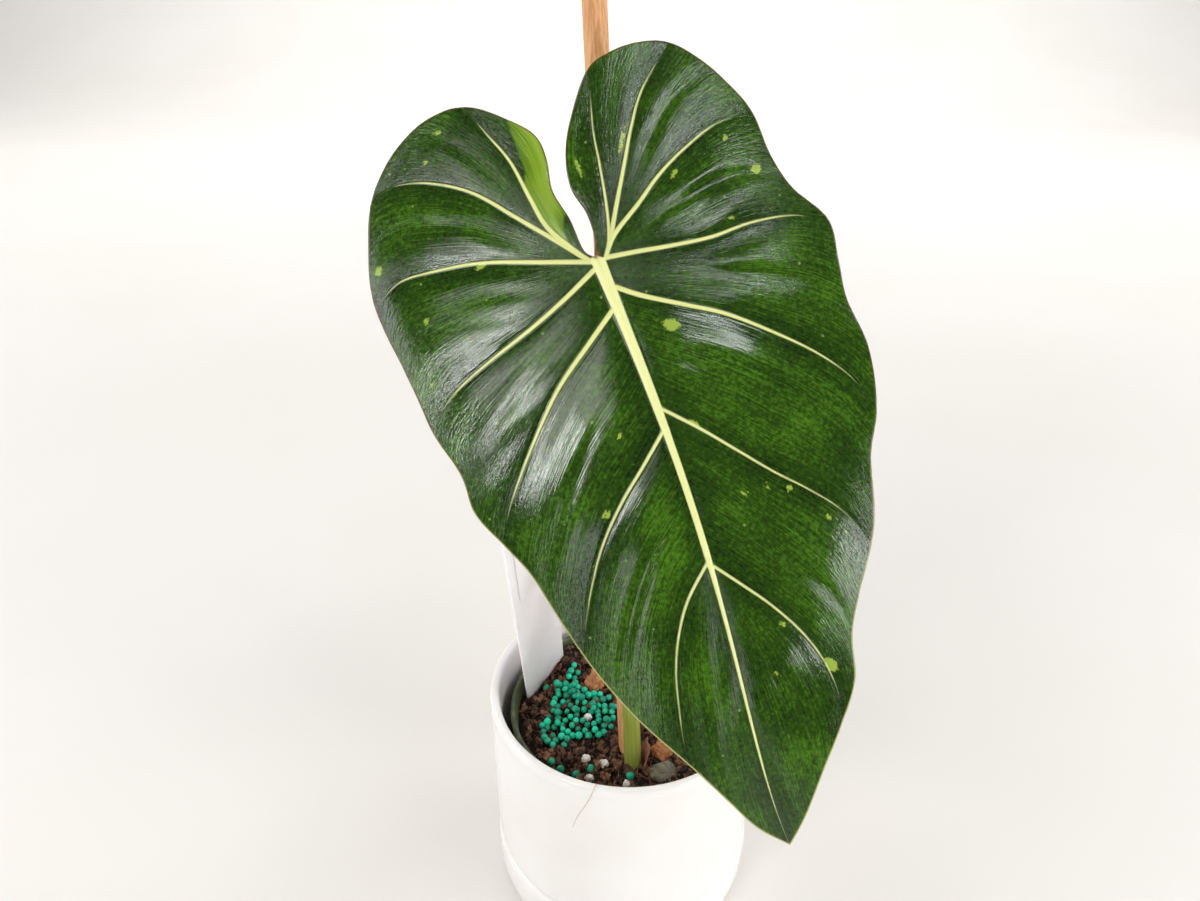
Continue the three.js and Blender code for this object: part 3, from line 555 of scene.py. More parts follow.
random.seed(prillLook["seed"])
heapSpots = []
for attempt in range(prillLook["tries"]):
    x, y = random.uniform(-37, -4), random.uniform(-24, 24)
    near = min((math.hypot(x - a, y - b) for a, b, c in heapSpots), default=9)
    clear = all(math.hypot(x - a, y - b) >= room for a, b, room in prillLook["keepClear"])
    if insideOutline(x, y, granuleOutline) and near > prillLook["spacing"] and clear:
        heapSpots.append((x, y, ground(x, y) + prillLook["lift"] + prillLook["unevenness"] * random.random()))
upper = []
for x, y, z in heapSpots:
    # now and then one lies on top, in the dip between its neighbours
    if random.random() < prillLook["onTop"]:
        aside, along = polar(1.7, random.uniform(0, fullTurn))
        upper.append((x + aside, y + along, z + 2.2))
placings = []
for x, y, z in heapSpots + upper:
    size = prillLook["radius"] * random.uniform(0.78, 1.08)
    # painted shade: those that lie deeper, under the others, are darker
    placings.append((0, (x, y, z), randomTurn(), (size, size * random.uniform(0.92, 1), size),
                     random.uniform(0.15, 1) * (1 if z > ground(x, y) + 2 else 0.75)))
prillFinish = makeCoatedPrill()
seat(strewn("prillHeap", [roundModel(3)], placings), prillFinish, "granule", "fertiliser_granules")
for number, (x, y) in enumerate(prillLook["strays"], 1):
    place = (0, (x, y, ground(x, y) + 0.9), randomTurn(), prillLook["straySize"], random.uniform(0.2, 0.55))
    stray = strewn(f"strayPrill_{number}", [roundModel(3)], [place])
    seat(stray, prillFinish, "granule", f"stray_granule_{number}")
print("prills:", len(placings))


# Bark and perlite: each lump has its x, y and lift over the mix, and its half size along each axis
barkLook = {
    "piece": "barkChunk", "detail": 5, "spread": 0.42, "seed": 39, "tint": 0.9,
    "lumps": [((-13.4, 15.6, 2.2), (4.165, 5.39, 3.675)), ((16.5, -22, 2.4), (4.5276, 3.7044, 3.2928))],
}
perliteLook = {
    "piece": "perliteCrumb", "detail": 4, "spread": 0.35, "seed": 59, "tint": 1,
    "lumps": [((-15.8, -6.3, 1.7), (1.615, 1.445, 1.7)), ((-15.5, -27, 0.9), (1.805, 1.615, 1.9)),
              ((-8, -29, 0.9), (1.9, 1.7, 2)), ((-13.6, -36.6, 0.9), (1.805, 1.615, 1.9)),
              ((1.6, -38.6, 0.8), (1.52, 1.36, 1.6))],
}
# pine bark, broken and sieved: orange-brown, dull and rough
barkFinish = makePlantLitter("orangeBark", "#5a2f1a", "#c98a5c", 0.8, 1.6)
for look, lumpFinish, slot, node in ((barkLook, barkFinish, "bark", "bark_chunk"),
                                     (perliteLook, makePerlite(), "perlite", "perlite")):
    for number, ((x, y, lift), size) in enumerate(look["lumps"], 1):
        model = roughModel(look["seed"] + number, look["detail"], look["spread"])
        piece = strewn(f"{look['piece']}_{number}", [model],
                       [(0, (x, y, ground(x, y) + lift), (0, 0, 0), size, look["tint"])])
        seat(piece, lumpFinish, slot, f"{node}_{number}")
print("bark and perlite laid")


# Petiole, rhizome, dry sheath and stake
petioleLook = {
    "path": [(4.2, -28.6, 77), (4.1, -28.5, 84), (2.3, -27.8, 120), (-1.5, -27, 180), (-5.5, -26.5, 240),
             (-8.3, -27, 272), (-10, -30.5, 290), (-10.4, -39.6, 297.7)],
    "radii": (3.5, 2.9), "groove": 0.05, "rings": 110, "sides": 32,
}


def petioleGroove(angles, share):
    # a shallow groove runs all the way up the stalk
    return 1 - petioleLook["groove"] * np.exp(-((np.mod(angles, 6.28) - 3.1) / 0.5) ** 2)


petiole = stemAlong("leafPetiole", petioleLook, petioleGroove)
# living leaf stalk: smooth waxy olive skin with faint lines along it
seat(petiole, makeStem("oliveGreenStem", "#7a8432", "#98a149", 26, 1.1, 0.42, 0.15), "petiole", "petiole")

rhizomeLook = {
    "path": [(3, -36, 69), (8, -32, 75), (14, -31, 80.5), (19.5, -33, 86)],
    "radii": (6.2, 5.4), "rings": 60, "sides": 72,
}


def rhizomeRidges(angles, share):
    # old leaf scars ring the stem, and it has shrunk into shallow furrows; the cut end is eased
    rings = 1 - 0.05 * max(0, math.cos(share * fullTurn * 5)) ** 6
    furrows = 0.015 * np.sin(angles * 7 + 3 * share) + 0.025 * np.sin(angles * 3)
    shrunk = 0.94 + 0.06 * np.sin(angles * 2 + 1)
    cut = min(1, (1 - share) / 0.03) ** 0.5
    return (rings - 0.03 + furrows) * shrunk * (0.35 + 0.65 * cut)


rhizome = stemAlong("oldRhizome", rhizomeLook, rhizomeRidges)
# old stem gone to dry grey bark: dull, with short dark marks along it
seat(rhizome, makeStem("greyOldStem", "#3d3a2c", "#96907a", 5, 2.2, 0.55, 0.4), "rhizome", "rhizome")

sheathLook = {
    "foot": (4.1, -28.5, 79.6), "radius": 4.9, "height": 15, "thickness": 0.5, "rows": 26, "columns": 24,
    "facing": 20, "footSpread": 55, "topSpread": 14,  # degrees, to either side of the way it faces
}


def sheathPoints():
    # it narrows and leans out as it goes up, curls at the sides and is torn along the top
    footX, footY, footZ = sheathLook["foot"]
    grid = np.zeros((sheathLook["rows"] + 1, sheathLook["columns"] + 1, 3))
    for row, column in np.ndindex(grid.shape[:2]):
        up = row / sheathLook["rows"]
        side = 2 * column / sheathLook["columns"] - 1
        narrowing = (sheathLook["topSpread"] - sheathLook["footSpread"]) * up ** 1.4
        angle = math.radians(sheathLook["facing"] + (sheathLook["footSpread"] + narrowing) * side)
        curl = 0.35 * math.sin(5 * up + 3 * side) * up
        x, y = polar((sheathLook["radius"] + curl) * (1 + 0.32 * up * up), angle)
        tear = 1.8 * abs(lumpy((side * 3, 4, 7), 1)) * up
        slant = 1.2 * (side + 1) * up
        grid[row, column] = (footX + x, footY + y, footZ + sheathLook["height"] * up + slant - tear)
    return grid


sheath = addSheet("drySheath", sheathPoints())
applyModifier(sheath, "SOLIDIFY", thickness=sheathLook["thickness"] * mm, offset=0)
applyModifier(sheath, "SUBSURF", levels=1, render_levels=1)
bpy.ops.object.shade_smooth()
mark(sheath, "tint", 0.8)
# leaf scale dried to paper: reddish brown with a dull grain
seat(sheath, makePlantLitter("drySheathPaper", "#55291f", "#c08a78", 0.7, 2.2), "sheath", "dry_sheath")

stakeLook = {"foot": (5.8, -27, 20), "direction": (-0.0595, 0.117, 0.992), "radius": 3.9, "length": 400}


def makeStakeWood():
    # bare birch dowel, turned and sanded: pale tan with fine straight grain and a few darker stains
    material, add, place = newMaterial("sandedBirchDowel")
    drawnOut = add("Mapping", {"Vector": place, "Scale": (1, 1, 0.035)})
    grain = add("TexNoise", {"Vector": drawnOut, "Detail": 5, "Roughness": 0.6}, 0.9)
    stain = add("TexNoise", {"Vector": place, "Detail": 3}, 11)
    tint = add("ValToRGB", [grain], stops=[(0.3, "#b07a48"), (0.7, "#e6b481"), (0.5, "#d39b67")])
    dirt = add("MapRange", [stain, 0.6, 0.8, 0, 0.45])
    shade = add("Mix", {0: dirt, 6: tint, 7: colour("#7b5537")}, data_type="RGBA")
    return finished(material, shade, (grain, 0.35, 0.15), Roughness=0.6, IOR=1.5)


# both ends are eased, and the shaft is a hair uneven every centimetre
stakeRadius, stakeLength = stakeLook["radius"], stakeLook["length"]
stakeEnd = [(0.02, 0), (stakeRadius - 0.7, 0), (stakeRadius - 0.2, 0.15), (stakeRadius, 0.6)]
stakeProfile = stakeEnd + [(stakeRadius - 0.05 * abs(math.sin(ring * 1.7)), 10 * ring)
                           for ring in range(1, stakeLength // 10)]
stakeProfile += [(radius, stakeLength - height) for radius, height in reversed(stakeEnd)]
stake = turnedWall("supportStake", stakeProfile, 40, 1)
upright = Vector(stakeLook["direction"]).normalized().to_track_quat("Z", "Y").to_matrix().to_4x4()
stake.data.transform(Matrix.Translation(Vector(stakeLook["foot"]) * mm) @ upright)
seat(stake, makeStakeWood(), "stake_wood", "support_stake")
print("stems and stake stand")


# Plant label and its sticker, outlined flat with the origin at the label's lower left, level with the mix
labelLook = {
    "width": 27, "top": 132, "shoulder": -2, "footY": -20, "foot": (11.5, 15.5), "corner": 3, "thickness": 1,
    "at": (-43.4, 5.4, 84.5), "turns": ((57.4, "Z"), (90, "X"), (17.8, "Z"), (11.5, "X")),
}
stickerLook = {"left": 4.6, "right": 22.6, "low": 82.5, "high": 124.5, "corner": 1, "thickness": 0.3,
               "lift": 0.95}
labelPlace = placement(labelLook["at"], *labelLook["turns"])


def placedSlab(name, outline, thickness, lift, bevel):
    # a flat outline given its thickness, its edges eased, and put on the label's plane
    onlySelect()
    bpy.ops.mesh.primitive_circle_add(vertices=len(outline), radius=1, fill_type="NGON")
    slab = named(name)
    slab.data.vertices.foreach_set("co", np.array([(x, y, 0) for x, y in outline], float).ravel())
    applyModifier(slab, "SOLIDIFY", thickness=thickness, offset=0)
    applyModifier(slab, "BEVEL", width=bevel, segments=3, limit_method="ANGLE")
    slab.data.transform(Matrix.Scale(mm, 4) @ labelPlace @ Matrix.Translation((0, 0, lift)))
    mergeAndTurnOut(slab)
    bpy.ops.object.shade_smooth_by_angle(angle=math.radians(50))
    return slab


def rounded(corners, radius):
    # arcs about the given middles, from the upper right one on towards the left
    outline = []
    for quarter, (x, y) in enumerate(corners):
        for step in range(0, 91, 15):
            aside, up = polar(radius, math.radians(90 * quarter + step))
            outline.append((x + aside, y + up))
    return outline


corner, cornerY = labelLook["corner"], labelLook["top"] - labelLook["corner"]
footLeft, footRight = labelLook["foot"]
labelOutline = (
    [(footRight, labelLook["footY"]), (labelLook["width"], labelLook["shoulder"])]
    + rounded([(labelLook["width"] - corner, cornerY), (corner, cornerY)], corner)
    + [(0, labelLook["shoulder"]), (footLeft, labelLook["footY"])])
# thin polypropylene plant tag, extruded and die cut: cool white, a little see-through
tagPlastic = makeMottled("whiteTagPlastic", 9, 4, [(0.3, "#f4ecfb"), (0.7, "#fbf4ff")], (0.08, 0.3),
                         Roughness=0.36, IOR=1.49, Subsurface_Weight=0.8, Subsurface_Radius=(1, 1, 1),
                         Subsurface_Scale=3 * mm)
label = placedSlab("plantLabel", labelOutline, labelLook["thickness"], 0, 0.15)
seat(label, tagPlastic, "label_plastic", "plant_label")
left, right, low, high = (stickerLook[key] for key in ("left", "right", "low", "high"))
stickerOutline = rounded([(right, high), (left, high), (left, low), (right, low)], stickerLook["corner"])
# coated label paper, flat bright white with a faint fibre tooth
tagPaper = makeMottled("coatedLabelPaper", 0.5, 3, [(0.3, "#f4f2f4"), (0.7, "#fcfbfc")], (0.1, 0.05),
                       Roughness=0.55, IOR=1.5)
sticker = placedSlab("labelSticker", stickerOutline, stickerLook["thickness"], stickerLook["lift"], 0.05)
seat(sticker, tagPaper, "label_paper", "label_sticker")
print("label stands")


# Leaf blade: panels spanned between the margin and neighbouring veins, measured from the junction
leafLook = {
    "junction": (-10.4, -42, 299), "tilt": 62, "turn": 18, "tip": (5, -169), "notch": (-0.7, 2.1),
    "bow": (9, 185), "droop": (14, 74), "ribBend": 5.4,  # heights and how far along or out they are reached
    "halfThickness": 0.4, "edgeRound": 0.45, "midribAbove": 0.5, "midribBelow": 1.3,
    "veinHalf": 0.82, "veinThinnest": 0.12, "veinAbove": 0.3, "veinBelow": 0.8,
    "quilting": 1.0, "tipQuilting": -0.8, "fullPanel": 26, "creaseWidth": 2.4, "tipCrease": 0.4,
    "rippleWidth": 3.1, "rippleHeight": 0.025, "pucker": 0.55,
    "sinusCorner": 6, "rows": 62, "middleColumns": 23, "scar": (-0.2, 2.4),
}
leftMargin = [
    leafLook["notch"], (-3.1, 5), (-4.3, 14.5), (-6.7, 24), (-5.8, 33.5), (-7, 41), (-13, 47.8), (-24.5, 56),
    (-37, 56), (-49.2, 50.2), (-59, 40.3), (-63.6, 28), (-66.6, 14), (-66, 3), (-63, -10), (-60.7, -21.5),
    (-58.8, -32.5), (-54, -45.5), (-53, -57), (-47.5, -67.5), (-42.3, -77), (-38.6, -89), (-34.6, -102),
    (-30.5, -112), (-24.5, -124), (-15, -139.5), (-8.5, -151), (-2.5, -161.5), leafLook["tip"]]
rightMargin = [
    leafLook["notch"], (0.75, 7.2), (0.5, 15), (-1.7, 23.5), (-0.2, 33.5), (4.3, 43.5), (12.3, 55),
    (20, 58.2), (29, 58.9), (37.3, 57), (44.2, 50.3), (49.8, 42), (54.8, 31.5), (55.9, 17.5), (59, 6.5),
    (66.6, -5), (65.4, -17), (63.9, -29), (65.6, -43.5), (62.5, -60), (56.5, -72), (53, -86), (49.5, -95),
    (42, -107), (37, -117), (34.5, -129), (28, -139.5), (19.5, -150.5), (11.5, -161.5), leafLook["tip"]]
# half the midrib's width at places along it: it steps down where veins leave it
ribTaper = [(-169, 0), (-140, 0.34), (-97, 0.6), (-84, 0.9), (-54, 1.02), (-43, 1.25), (-20, 1.45),
            (-6, 1.85), (2.1, 2.1)]
# each lateral vein: where on the midrib it starts, the way it takes, the margin point it runs out to,
# the depth of the fold in the panel before it, and its thickness
leftVeins = [
    (0.9, [(-5, 4.5), (-11, 14), (-13.5, 24), (-16, 36), (-20.5, 46.5)], 7, 0, 1.1),
    (0.9, [(-10, 10), (-18, 19), (-29, 31), (-41, 38.5), (-52, 41.5)], 10, 0.3, 1),
    (0.9, [(-15, 5), (-32, 10.5), (-47, 13), (-57, 13.5), (-63.5, 10)], 13, 0.4, 1),
    (-1.5, [(-12, -7), (-23, -12), (-35, -16.5), (-47, -21.5), (-55, -27)], 16, 0.1, 1),
    (-14, [(-9, -21), (-20, -30), (-29, -40), (-37, -50), (-43, -58.5)], 19, 0.25, 1),
    (-50, [(-4, -57), (-13, -65.5), (-21, -75), (-27, -85), (-31.5, -94.5)], 22, 0.4, 0.7),
    (-87, [(-3, -95), (-8, -103.5), (-11.5, -113), (-13.5, -123), (-14.8, -132)], 25, 0.7, 0.6)]
rightVeins = [
    (0.9, [(4.6, 6), (6.5, 15), (8, 27), (9, 37), (11, 47)], 6, 0.4, 0.7),
    (0.9, [(5.2, 6.4), (10, 16), (15, 26), (20, 36), (26, 45.5)], 9, 0.3, 1),
    (0.9, [(6.2, 6.4), (15, 13), (23, 19.5), (32, 25), (43, 30)], 12, 0.8, 1),
    (0.9, [(11, 0), (20, -1), (32, -1.7), (44, -0.6), (56, -1.4)], 15, 0.7, 1),
    (-8, [(9, -12.5), (19, -18), (29, -23.5), (39, -31), (50, -40.5), (57.5, -49.5)], 19, 0.4, 1),
    (-44, [(13, -51.5), (21, -60), (29, -68.5), (37, -76), (44, -84)], 22, 0.25, 0.68),
    (-88, [(13, -96), (18.5, -103), (24, -112), (27.5, -121), (29, -130.5)], 26, 0.5, 0.6)]
# yellow-green sector by the left of the sinus, and the flecks: x, y, half length, half width, angle
leafSector = [
    (-13.6, 47.6), (-12.9, 37.7), (-12.6, 31.5), (-14.1, 27.5), (-13, 20), (-11, 14), (-8, 8.5), (-5.7, 5.6),
    (-6.6, 8), (-6.9, 12), (-6.1, 15.3), (-3.5, 17.5), (-2, 30), (-2, 42), (-9, 49)]
leafFlecks = [
    (14, -22.4, 2.4, 1.7, -20), (-62.4, 18.9, 1.4, 1.2, 40), (-52.1, -0.4, 1, 0.8, 60),
    (-55.2, -18.4, 0.6, 0.5, 0), (-31.9, 9.7, 1.8, 0.8, 15), (-39.8, 44.2, 0.8, 0.7, 0),
    (-34, 51.3, 1.2, 0.5, 0), (27.3, 18.8, 1.3, 0.6, 50), (44.6, 25.4, 1, 0.8, 70),
    (50.4, 14.1, 1.5, 1.2, 20), (39.3, 2.1, 0.7, 0.5, 0), (-7.9, -47.6, 0.9, 0.6, 40),
    (16, 32.1, 3.2, 0.45, 64), (2, 28.2, 2.2, 0.45, 95), (-17.3, -66.8, 1.4, 0.9, 40),
    (19.6, -71.7, 1.2, 0.6, -35), (26.4, -71.8, 1.1, 0.6, -50), (31.7, -73.9, 1, 0.7, 60),
    (40.1, -84.4, 1.1, 0.9, 0), (29.3, -122.9, 2.3, 1.3, -60), (19.5, -108, 0.9, 0.6, -50),
    (14.3, -120.6, 0.8, 0.5, -40), (12.2, -50, 1.3, 0.6, -50)]


def midribX(y):
    along = np.clip(np.asarray(y) / leafLook["tip"][1], 0, None)
    return leafLook["ribBend"] * np.sin(np.pi * along) + leafLook["tip"][0] * along ** 8


def ribCentre(y):
    # past the junction the rib's middle runs on to the notch
    return midribX(y) + leafLook["notch"][0] * np.clip(np.asarray(y) / leafLook["notch"][1], 0, 1)


def midribHalfWidth(y):
    return np.interp(y, *zip(*ribTaper))


def ribEdge(side, y):
    # where the panels end: the left (-1) or right (1) flank of the midrib
    return np.stack([midribX(y) + side * midribHalfWidth(y), y], -1)


def bladeHeight(xy):
    (bow, length), (droop, halfWidth) = leafLook["bow"], leafLook["droop"]
    return bow * np.sin(np.pi * xy[..., 1] / -length) - droop * (xy[..., 0] / halfWidth) ** 2


def nearest(xy, line):
    # how far each point is from a line of close points, and the share of the line where that is
    gaps = np.linalg.norm(xy[:, None] - line[None], axis=2)
    spot = gaps.argmin(1)
    return gaps[np.arange(len(xy)), spot], spot / (len(line) - 1)


def gapToOutline(xy, outline):
    # distance to a closed outline, negative inside it
    outline = np.asarray(outline, float)
    gap = np.full(len(xy), 1e9)
    inside = np.zeros(len(xy), bool)
    for start, end in zip(outline, np.roll(outline, -1, axis=0)):
        way = end - start
        share = np.clip((xy - start) @ way / (way @ way), 0, 1)
        gap = np.minimum(gap, np.linalg.norm(xy - start - share[:, None] * way, axis=1))
        crossing = start[0] + (xy[:, 1] - start[1]) / (end[1] - start[1] + 1e-9) * way[0]
        inside ^= ((start[1] > xy[:, 1]) != (end[1] > xy[:, 1])) & (xy[:, 0] < crossing)
    return np.where(inside, -gap, gap)


def gapToFlecks(xy):
    gap = np.full(len(xy), 5.0)
    for x, y, long, wide, angle in leafFlecks:
        turn = math.radians(angle)
        way = np.array([[math.cos(turn), math.sin(turn)], [-math.sin(turn), math.cos(turn)]])
        own = (xy - (x, y)) @ way.T / (long, wide)
        gap = np.minimum(gap, (np.linalg.norm(own, axis=1) - 1) * min(long, wide))
    return gap


def bladePoints(flat, lift, veinLines, marginLine):
    # both faces' heights over flat places, and what the finish needs to know there
    marginGap = nearest(flat, marginLine)[0]
    edge = np.sqrt(1 - (1 - np.clip(marginGap / leafLook["edgeRound"], 0, 1)) ** 2)
    ribHalf = midribHalfWidth(flat[:, 1])
    ribGap = np.abs(flat[:, 0] - ribCentre(flat[:, 1])) - ribHalf + np.clip(flat[:, 1] - 0.9, 0, None)
    along = np.clip(flat[:, 1] / leafLook["tip"][1], 0, 1)
    inRib = np.clip(-ribGap / np.maximum(ribHalf, 0.05), 0, 1)
    ribCrown = np.sin(inRib * math.pi / 2) * (1 - 0.75 * along)
    veinGap, tone = ribGap.copy(), np.ones(len(flat))
    thinned, crown = np.zeros(len(flat)), np.zeros(len(flat))
    for line, thickness in veinLines:
        gap, share = nearest(flat, line)
        half = np.maximum(leafLook["veinHalf"] * thickness * (1 - share) ** 0.62, leafLook["veinThinnest"])
        bell = np.cos(np.clip(gap / (1.25 * half), 0, 1) * math.pi / 2) ** 2
        crown = np.maximum(crown, bell * (1 - share * share))
        closer = gap - half < veinGap
        veinGap = np.where(closer, gap - half, veinGap)
        fade = np.clip((share - 0.75) / 0.25, 0, 1) ** 2  # the last quarter of a vein fades away
        tone = np.where(closer, 1 - fade, tone)
        thinned = np.where(closer, 0.5 * fade, thinned)
    groove = 0.05 * np.exp(-((veinGap - 0.3) / 0.4) ** 2) * tone
    middle = bladeHeight(flat) + lift
    tops = middle + edge * (leafLook["halfThickness"] + leafLook["midribAbove"] * ribCrown
                            + leafLook["veinAbove"] * crown - groove)
    bottoms = middle - edge * (leafLook["halfThickness"] + leafLook["midribBelow"] * ribCrown
                               + leafLook["veinBelow"] * crown)
    marks = {"veinGap": veinGap + thinned, "ribGap": ribGap, "marginGap": marginGap,
             "fleckGap": gapToFlecks(flat), "sectorGap": gapToOutline(flat, leafSector),
             "scarGap": np.linalg.norm(flat - leafLook["scar"], axis=1)}
    return tops, bottoms, marks


def bladeFaces(xy, lift, veinLines, marginLine, model, *how):
    # the upper and lower face over the same places, each made by model(name, points, *how) and marked
    flat = xy.reshape(-1, 2)
    tops, bottoms, marks = bladePoints(flat, lift.ravel(), veinLines, marginLine)
    pieces = []
    for heights, under in ((tops, 0), (bottoms, 1)):
        points = np.column_stack([flat, heights]).reshape(*xy.shape[:-1], 3)
        pieces.append(model("bladeFace", points, *how))
        for key, values in {**marks, "underside": under}.items():
            mark(pieces[-1], key, values)
    return pieces


rowShares = np.concatenate([np.linspace(0, 1 - 1.8 / 65, leafLook["rows"]),
                            1 - np.array([1.2, 0.75, 0.42, 0.2, 0.07, 0]) / 65])
nearVein = np.array([0, 0.3, 0.6, 0.9, 1.25, 1.7, 2.3])


def columnShares(width):
    # places across a panel: close together by the veins, even between them
    near = nearVein * 0.25 / nearVein[-1]
    if width > 1e-6:
        near = nearVein * min(1, 0.25 * width / nearVein[-1]) / width
    middle = np.linspace(near[-1], 1 - near[-1], leafLook["middleColumns"] + 2)[1:-1]
    return np.concatenate([near, middle, 1 - near[::-1]])


def panelLift(side, panel, puff, crease, a, t, widths, length):
    # how a panel leaves the blade's curve, with a running outwards and t across it, both from 0 to 1
    across = 1 - (2 * t - 1) ** 2
    outwards = np.sin(np.pi / 2 * np.minimum(1, 0.12 + a / 0.4)) * (1 - 0.25 * a)
    size = np.minimum(1, widths / leafLook["fullPanel"])[:, None]
    lift = puff * across * outwards * size
    middle = (t - 0.48 - 0.05 * np.sin(4 * a + panel)) * widths[:, None]
    fold = np.sin(np.pi * np.clip((a - 0.08) / 0.92, 0, 1)) ** 0.7 * size
    lift = lift - crease * np.exp(-(middle / leafLook["creaseWidth"]) ** 2) * fold
    ripple = np.cos(2 * np.pi * t * widths.max() / leafLook["rippleWidth"] + panel)
    lift = lift + leafLook["rippleHeight"] * ripple * np.sqrt(across) * fold
    # drawn-out puckers break up the sheen: 30 by 6.5 mm and 13 by 2.6 mm, longer outwards than across
    spots = np.stack([a * length, t * widths[:, None]], -1).reshape(-1, 2)
    pucker = np.array([noise.noise(Vector((u / 30, v / 6.5, panel * 7 + side))) * 0.75
                       + noise.noise(Vector((u / 13, v / 2.6, panel * 5 - side))) * 0.12 for u, v in spots])
    return lift + leafLook["pucker"] * pucker.reshape(a.shape) * np.sqrt(across) * fold


def bladeHalf(side, margin, veins):
    marginLine = splineAt(margin, np.linspace(0, len(margin) - 1, 1500))
    corner = leafLook["sinusCorner"]
    # the lines that bound the panels, each with the margin point it ends at and its y on the midrib
    edges = [(splineAt(margin, rowShares * corner), corner, leafLook["notch"][1])]
    veinLines = []
    for station, way, end, crease, thickness in veins:
        way = [tuple(ribEdge(side, float(station))), *way, tuple(splineAt(margin, [end])[0])]
        edges.append((evenSpline(way, rowShares), end, station))
        veinLines.append((evenSpline(way, np.linspace(0, 1, 260)), thickness))
    lastY = veins[-1][0]
    ribY = lastY + (leafLook["tip"][1] - lastY) * rowShares
    edges.append((ribEdge(side, ribY), len(margin) - 1, lastY))
    creases = [vein[3] for vein in veins] + [leafLook["tipCrease"]]

    pieces, rim = [], []
    for panel, ((p, firstEnd, firstY), (q, secondEnd, secondY)) in enumerate(zip(edges, edges[1:])):
        widths = np.linalg.norm(p - q, axis=1)
        t = np.stack([columnShares(width) for width in widths])
        a = np.repeat(rowShares[:, None], t.shape[1], 1)
        t3, a3 = t[..., None], a[..., None]
        inner = p[0] + (q[0] - p[0]) * t3 if panel == 0 else ribEdge(side, firstY + (secondY - firstY) * t)
        outer = splineAt(margin, (firstEnd + (secondEnd - firstEnd) * t).ravel()).reshape(*t.shape, 2)
        # a patch spanned by its four border lines
        xy = ((1 - t3) * p[:, None] + t3 * q[:, None] + (1 - a3) * inner + a3 * outer
              - (1 - a3) * ((1 - t3) * p[0] + t3 * q[0]) - a3 * ((1 - t3) * p[-1] + t3 * q[-1]))
        length = np.linalg.norm(np.diff((p + q) / 2, axis=0), axis=1).sum()
        # the panels puff up between the veins, but the last one on the left dips towards the midrib
        puff = leafLook["tipQuilting" if side < 0 and panel == len(veins) else "quilting"]
        lift = panelLift(side, panel, puff, creases[panel], a, t, widths, length)
        flow = np.stack([a * length, t * widths.max() + 90 * panel + 800 * (side > 0)], -1)
        near = [veinLines[spot] for spot in (panel - 1, panel) if 0 <= spot < len(veinLines)]
        pieces += bladeFaces(xy, lift, near, marginLine, addSheet, flow)
        if np.linalg.norm(inner[0, 0] - inner[0, -1]) > 0.01 or panel == 0:
            rim += [(*spot, up) for spot, up in zip(xy[0], lift[0])]
    rim += [(*spot, 0.0) for spot in ribEdge(side, ribY)]
    kept = [rim[0]]
    for spot in rim[1:]:
        if math.hypot(spot[0] - kept[-1][0], spot[1] - kept[-1][1]) > 1e-4:
            kept.append(spot)
    rim = np.array(kept)

    # half of the midrib, from the panels' edge in towards its middle
    reach = np.array([1, 0.85, 0.65, 0.42, 0.18])[:, None]
    centre = np.stack([ribCentre(rim[:, 1]), rim[:, 1]], -1)
    xy = centre[None] + (rim[None, :, :2] - centre[None]) * reach[..., None]
    lift = rim[None, :, 2] * reach ** 2
    ahead, aside = np.tile(-rim[:, 1], (len(reach), 1)), np.tile(reach * 2 + side * 700, (1, len(rim)))
    pieces += bladeFaces(xy, lift, veinLines, marginLine, addSheet, np.stack([ahead, aside], -1))
    return pieces, np.column_stack([xy[-1], lift[-1]]), veinLines, marginLine


def addFaces(name, points, faces):
    mesh = bpy.data.meshes.new(name)
    mesh.from_pydata([tuple(point) for point in points * mm], [], faces)
    mesh.uv_layers.new(name="flow")
    piece = bpy.data.objects.new(name, mesh)
    bpy.context.collection.objects.link(piece)
    return piece


leftPieces, leftSeam, leftLines, leftEdge = bladeHalf(-1, leftMargin, leftVeins)
rightPieces, rightSeam, rightLines, rightEdge = bladeHalf(1, rightMargin, rightVeins)

# the midrib's middle is closed by triangles between the two halves' innermost rows, from notch to tip
seam = np.concatenate([leftSeam, rightSeam])
seamFaces, onLeft, onRight = [], 0, len(leftSeam)
lastLeft, lastRight = len(leftSeam) - 1, len(seam) - 1
while onLeft < lastLeft or onRight < lastRight:
    if onRight == lastRight or (onLeft < lastLeft and seam[onLeft + 1][1] >= seam[onRight + 1][1]):
        seamFaces.append((onLeft, onRight, onLeft + 1))
        onLeft += 1
    else:
        seamFaces.append((onLeft, onRight, onRight + 1))
        onRight += 1
middlePieces = bladeFaces(seam[:, :2], seam[:, 2], leftLines + rightLines,
                          np.concatenate([leftEdge, rightEdge]), addFaces, seamFaces)
leaf = joined("leafBlade", leftPieces + rightPieces + middlePieces)
mergeAndTurnOut(leaf, 0.01)
leafTurns = (leafLook["tilt"], "X"), (leafLook["turn"], "Z")
leaf.data.transform(placement(Vector(leafLook["junction"]) * mm, *leafTurns))


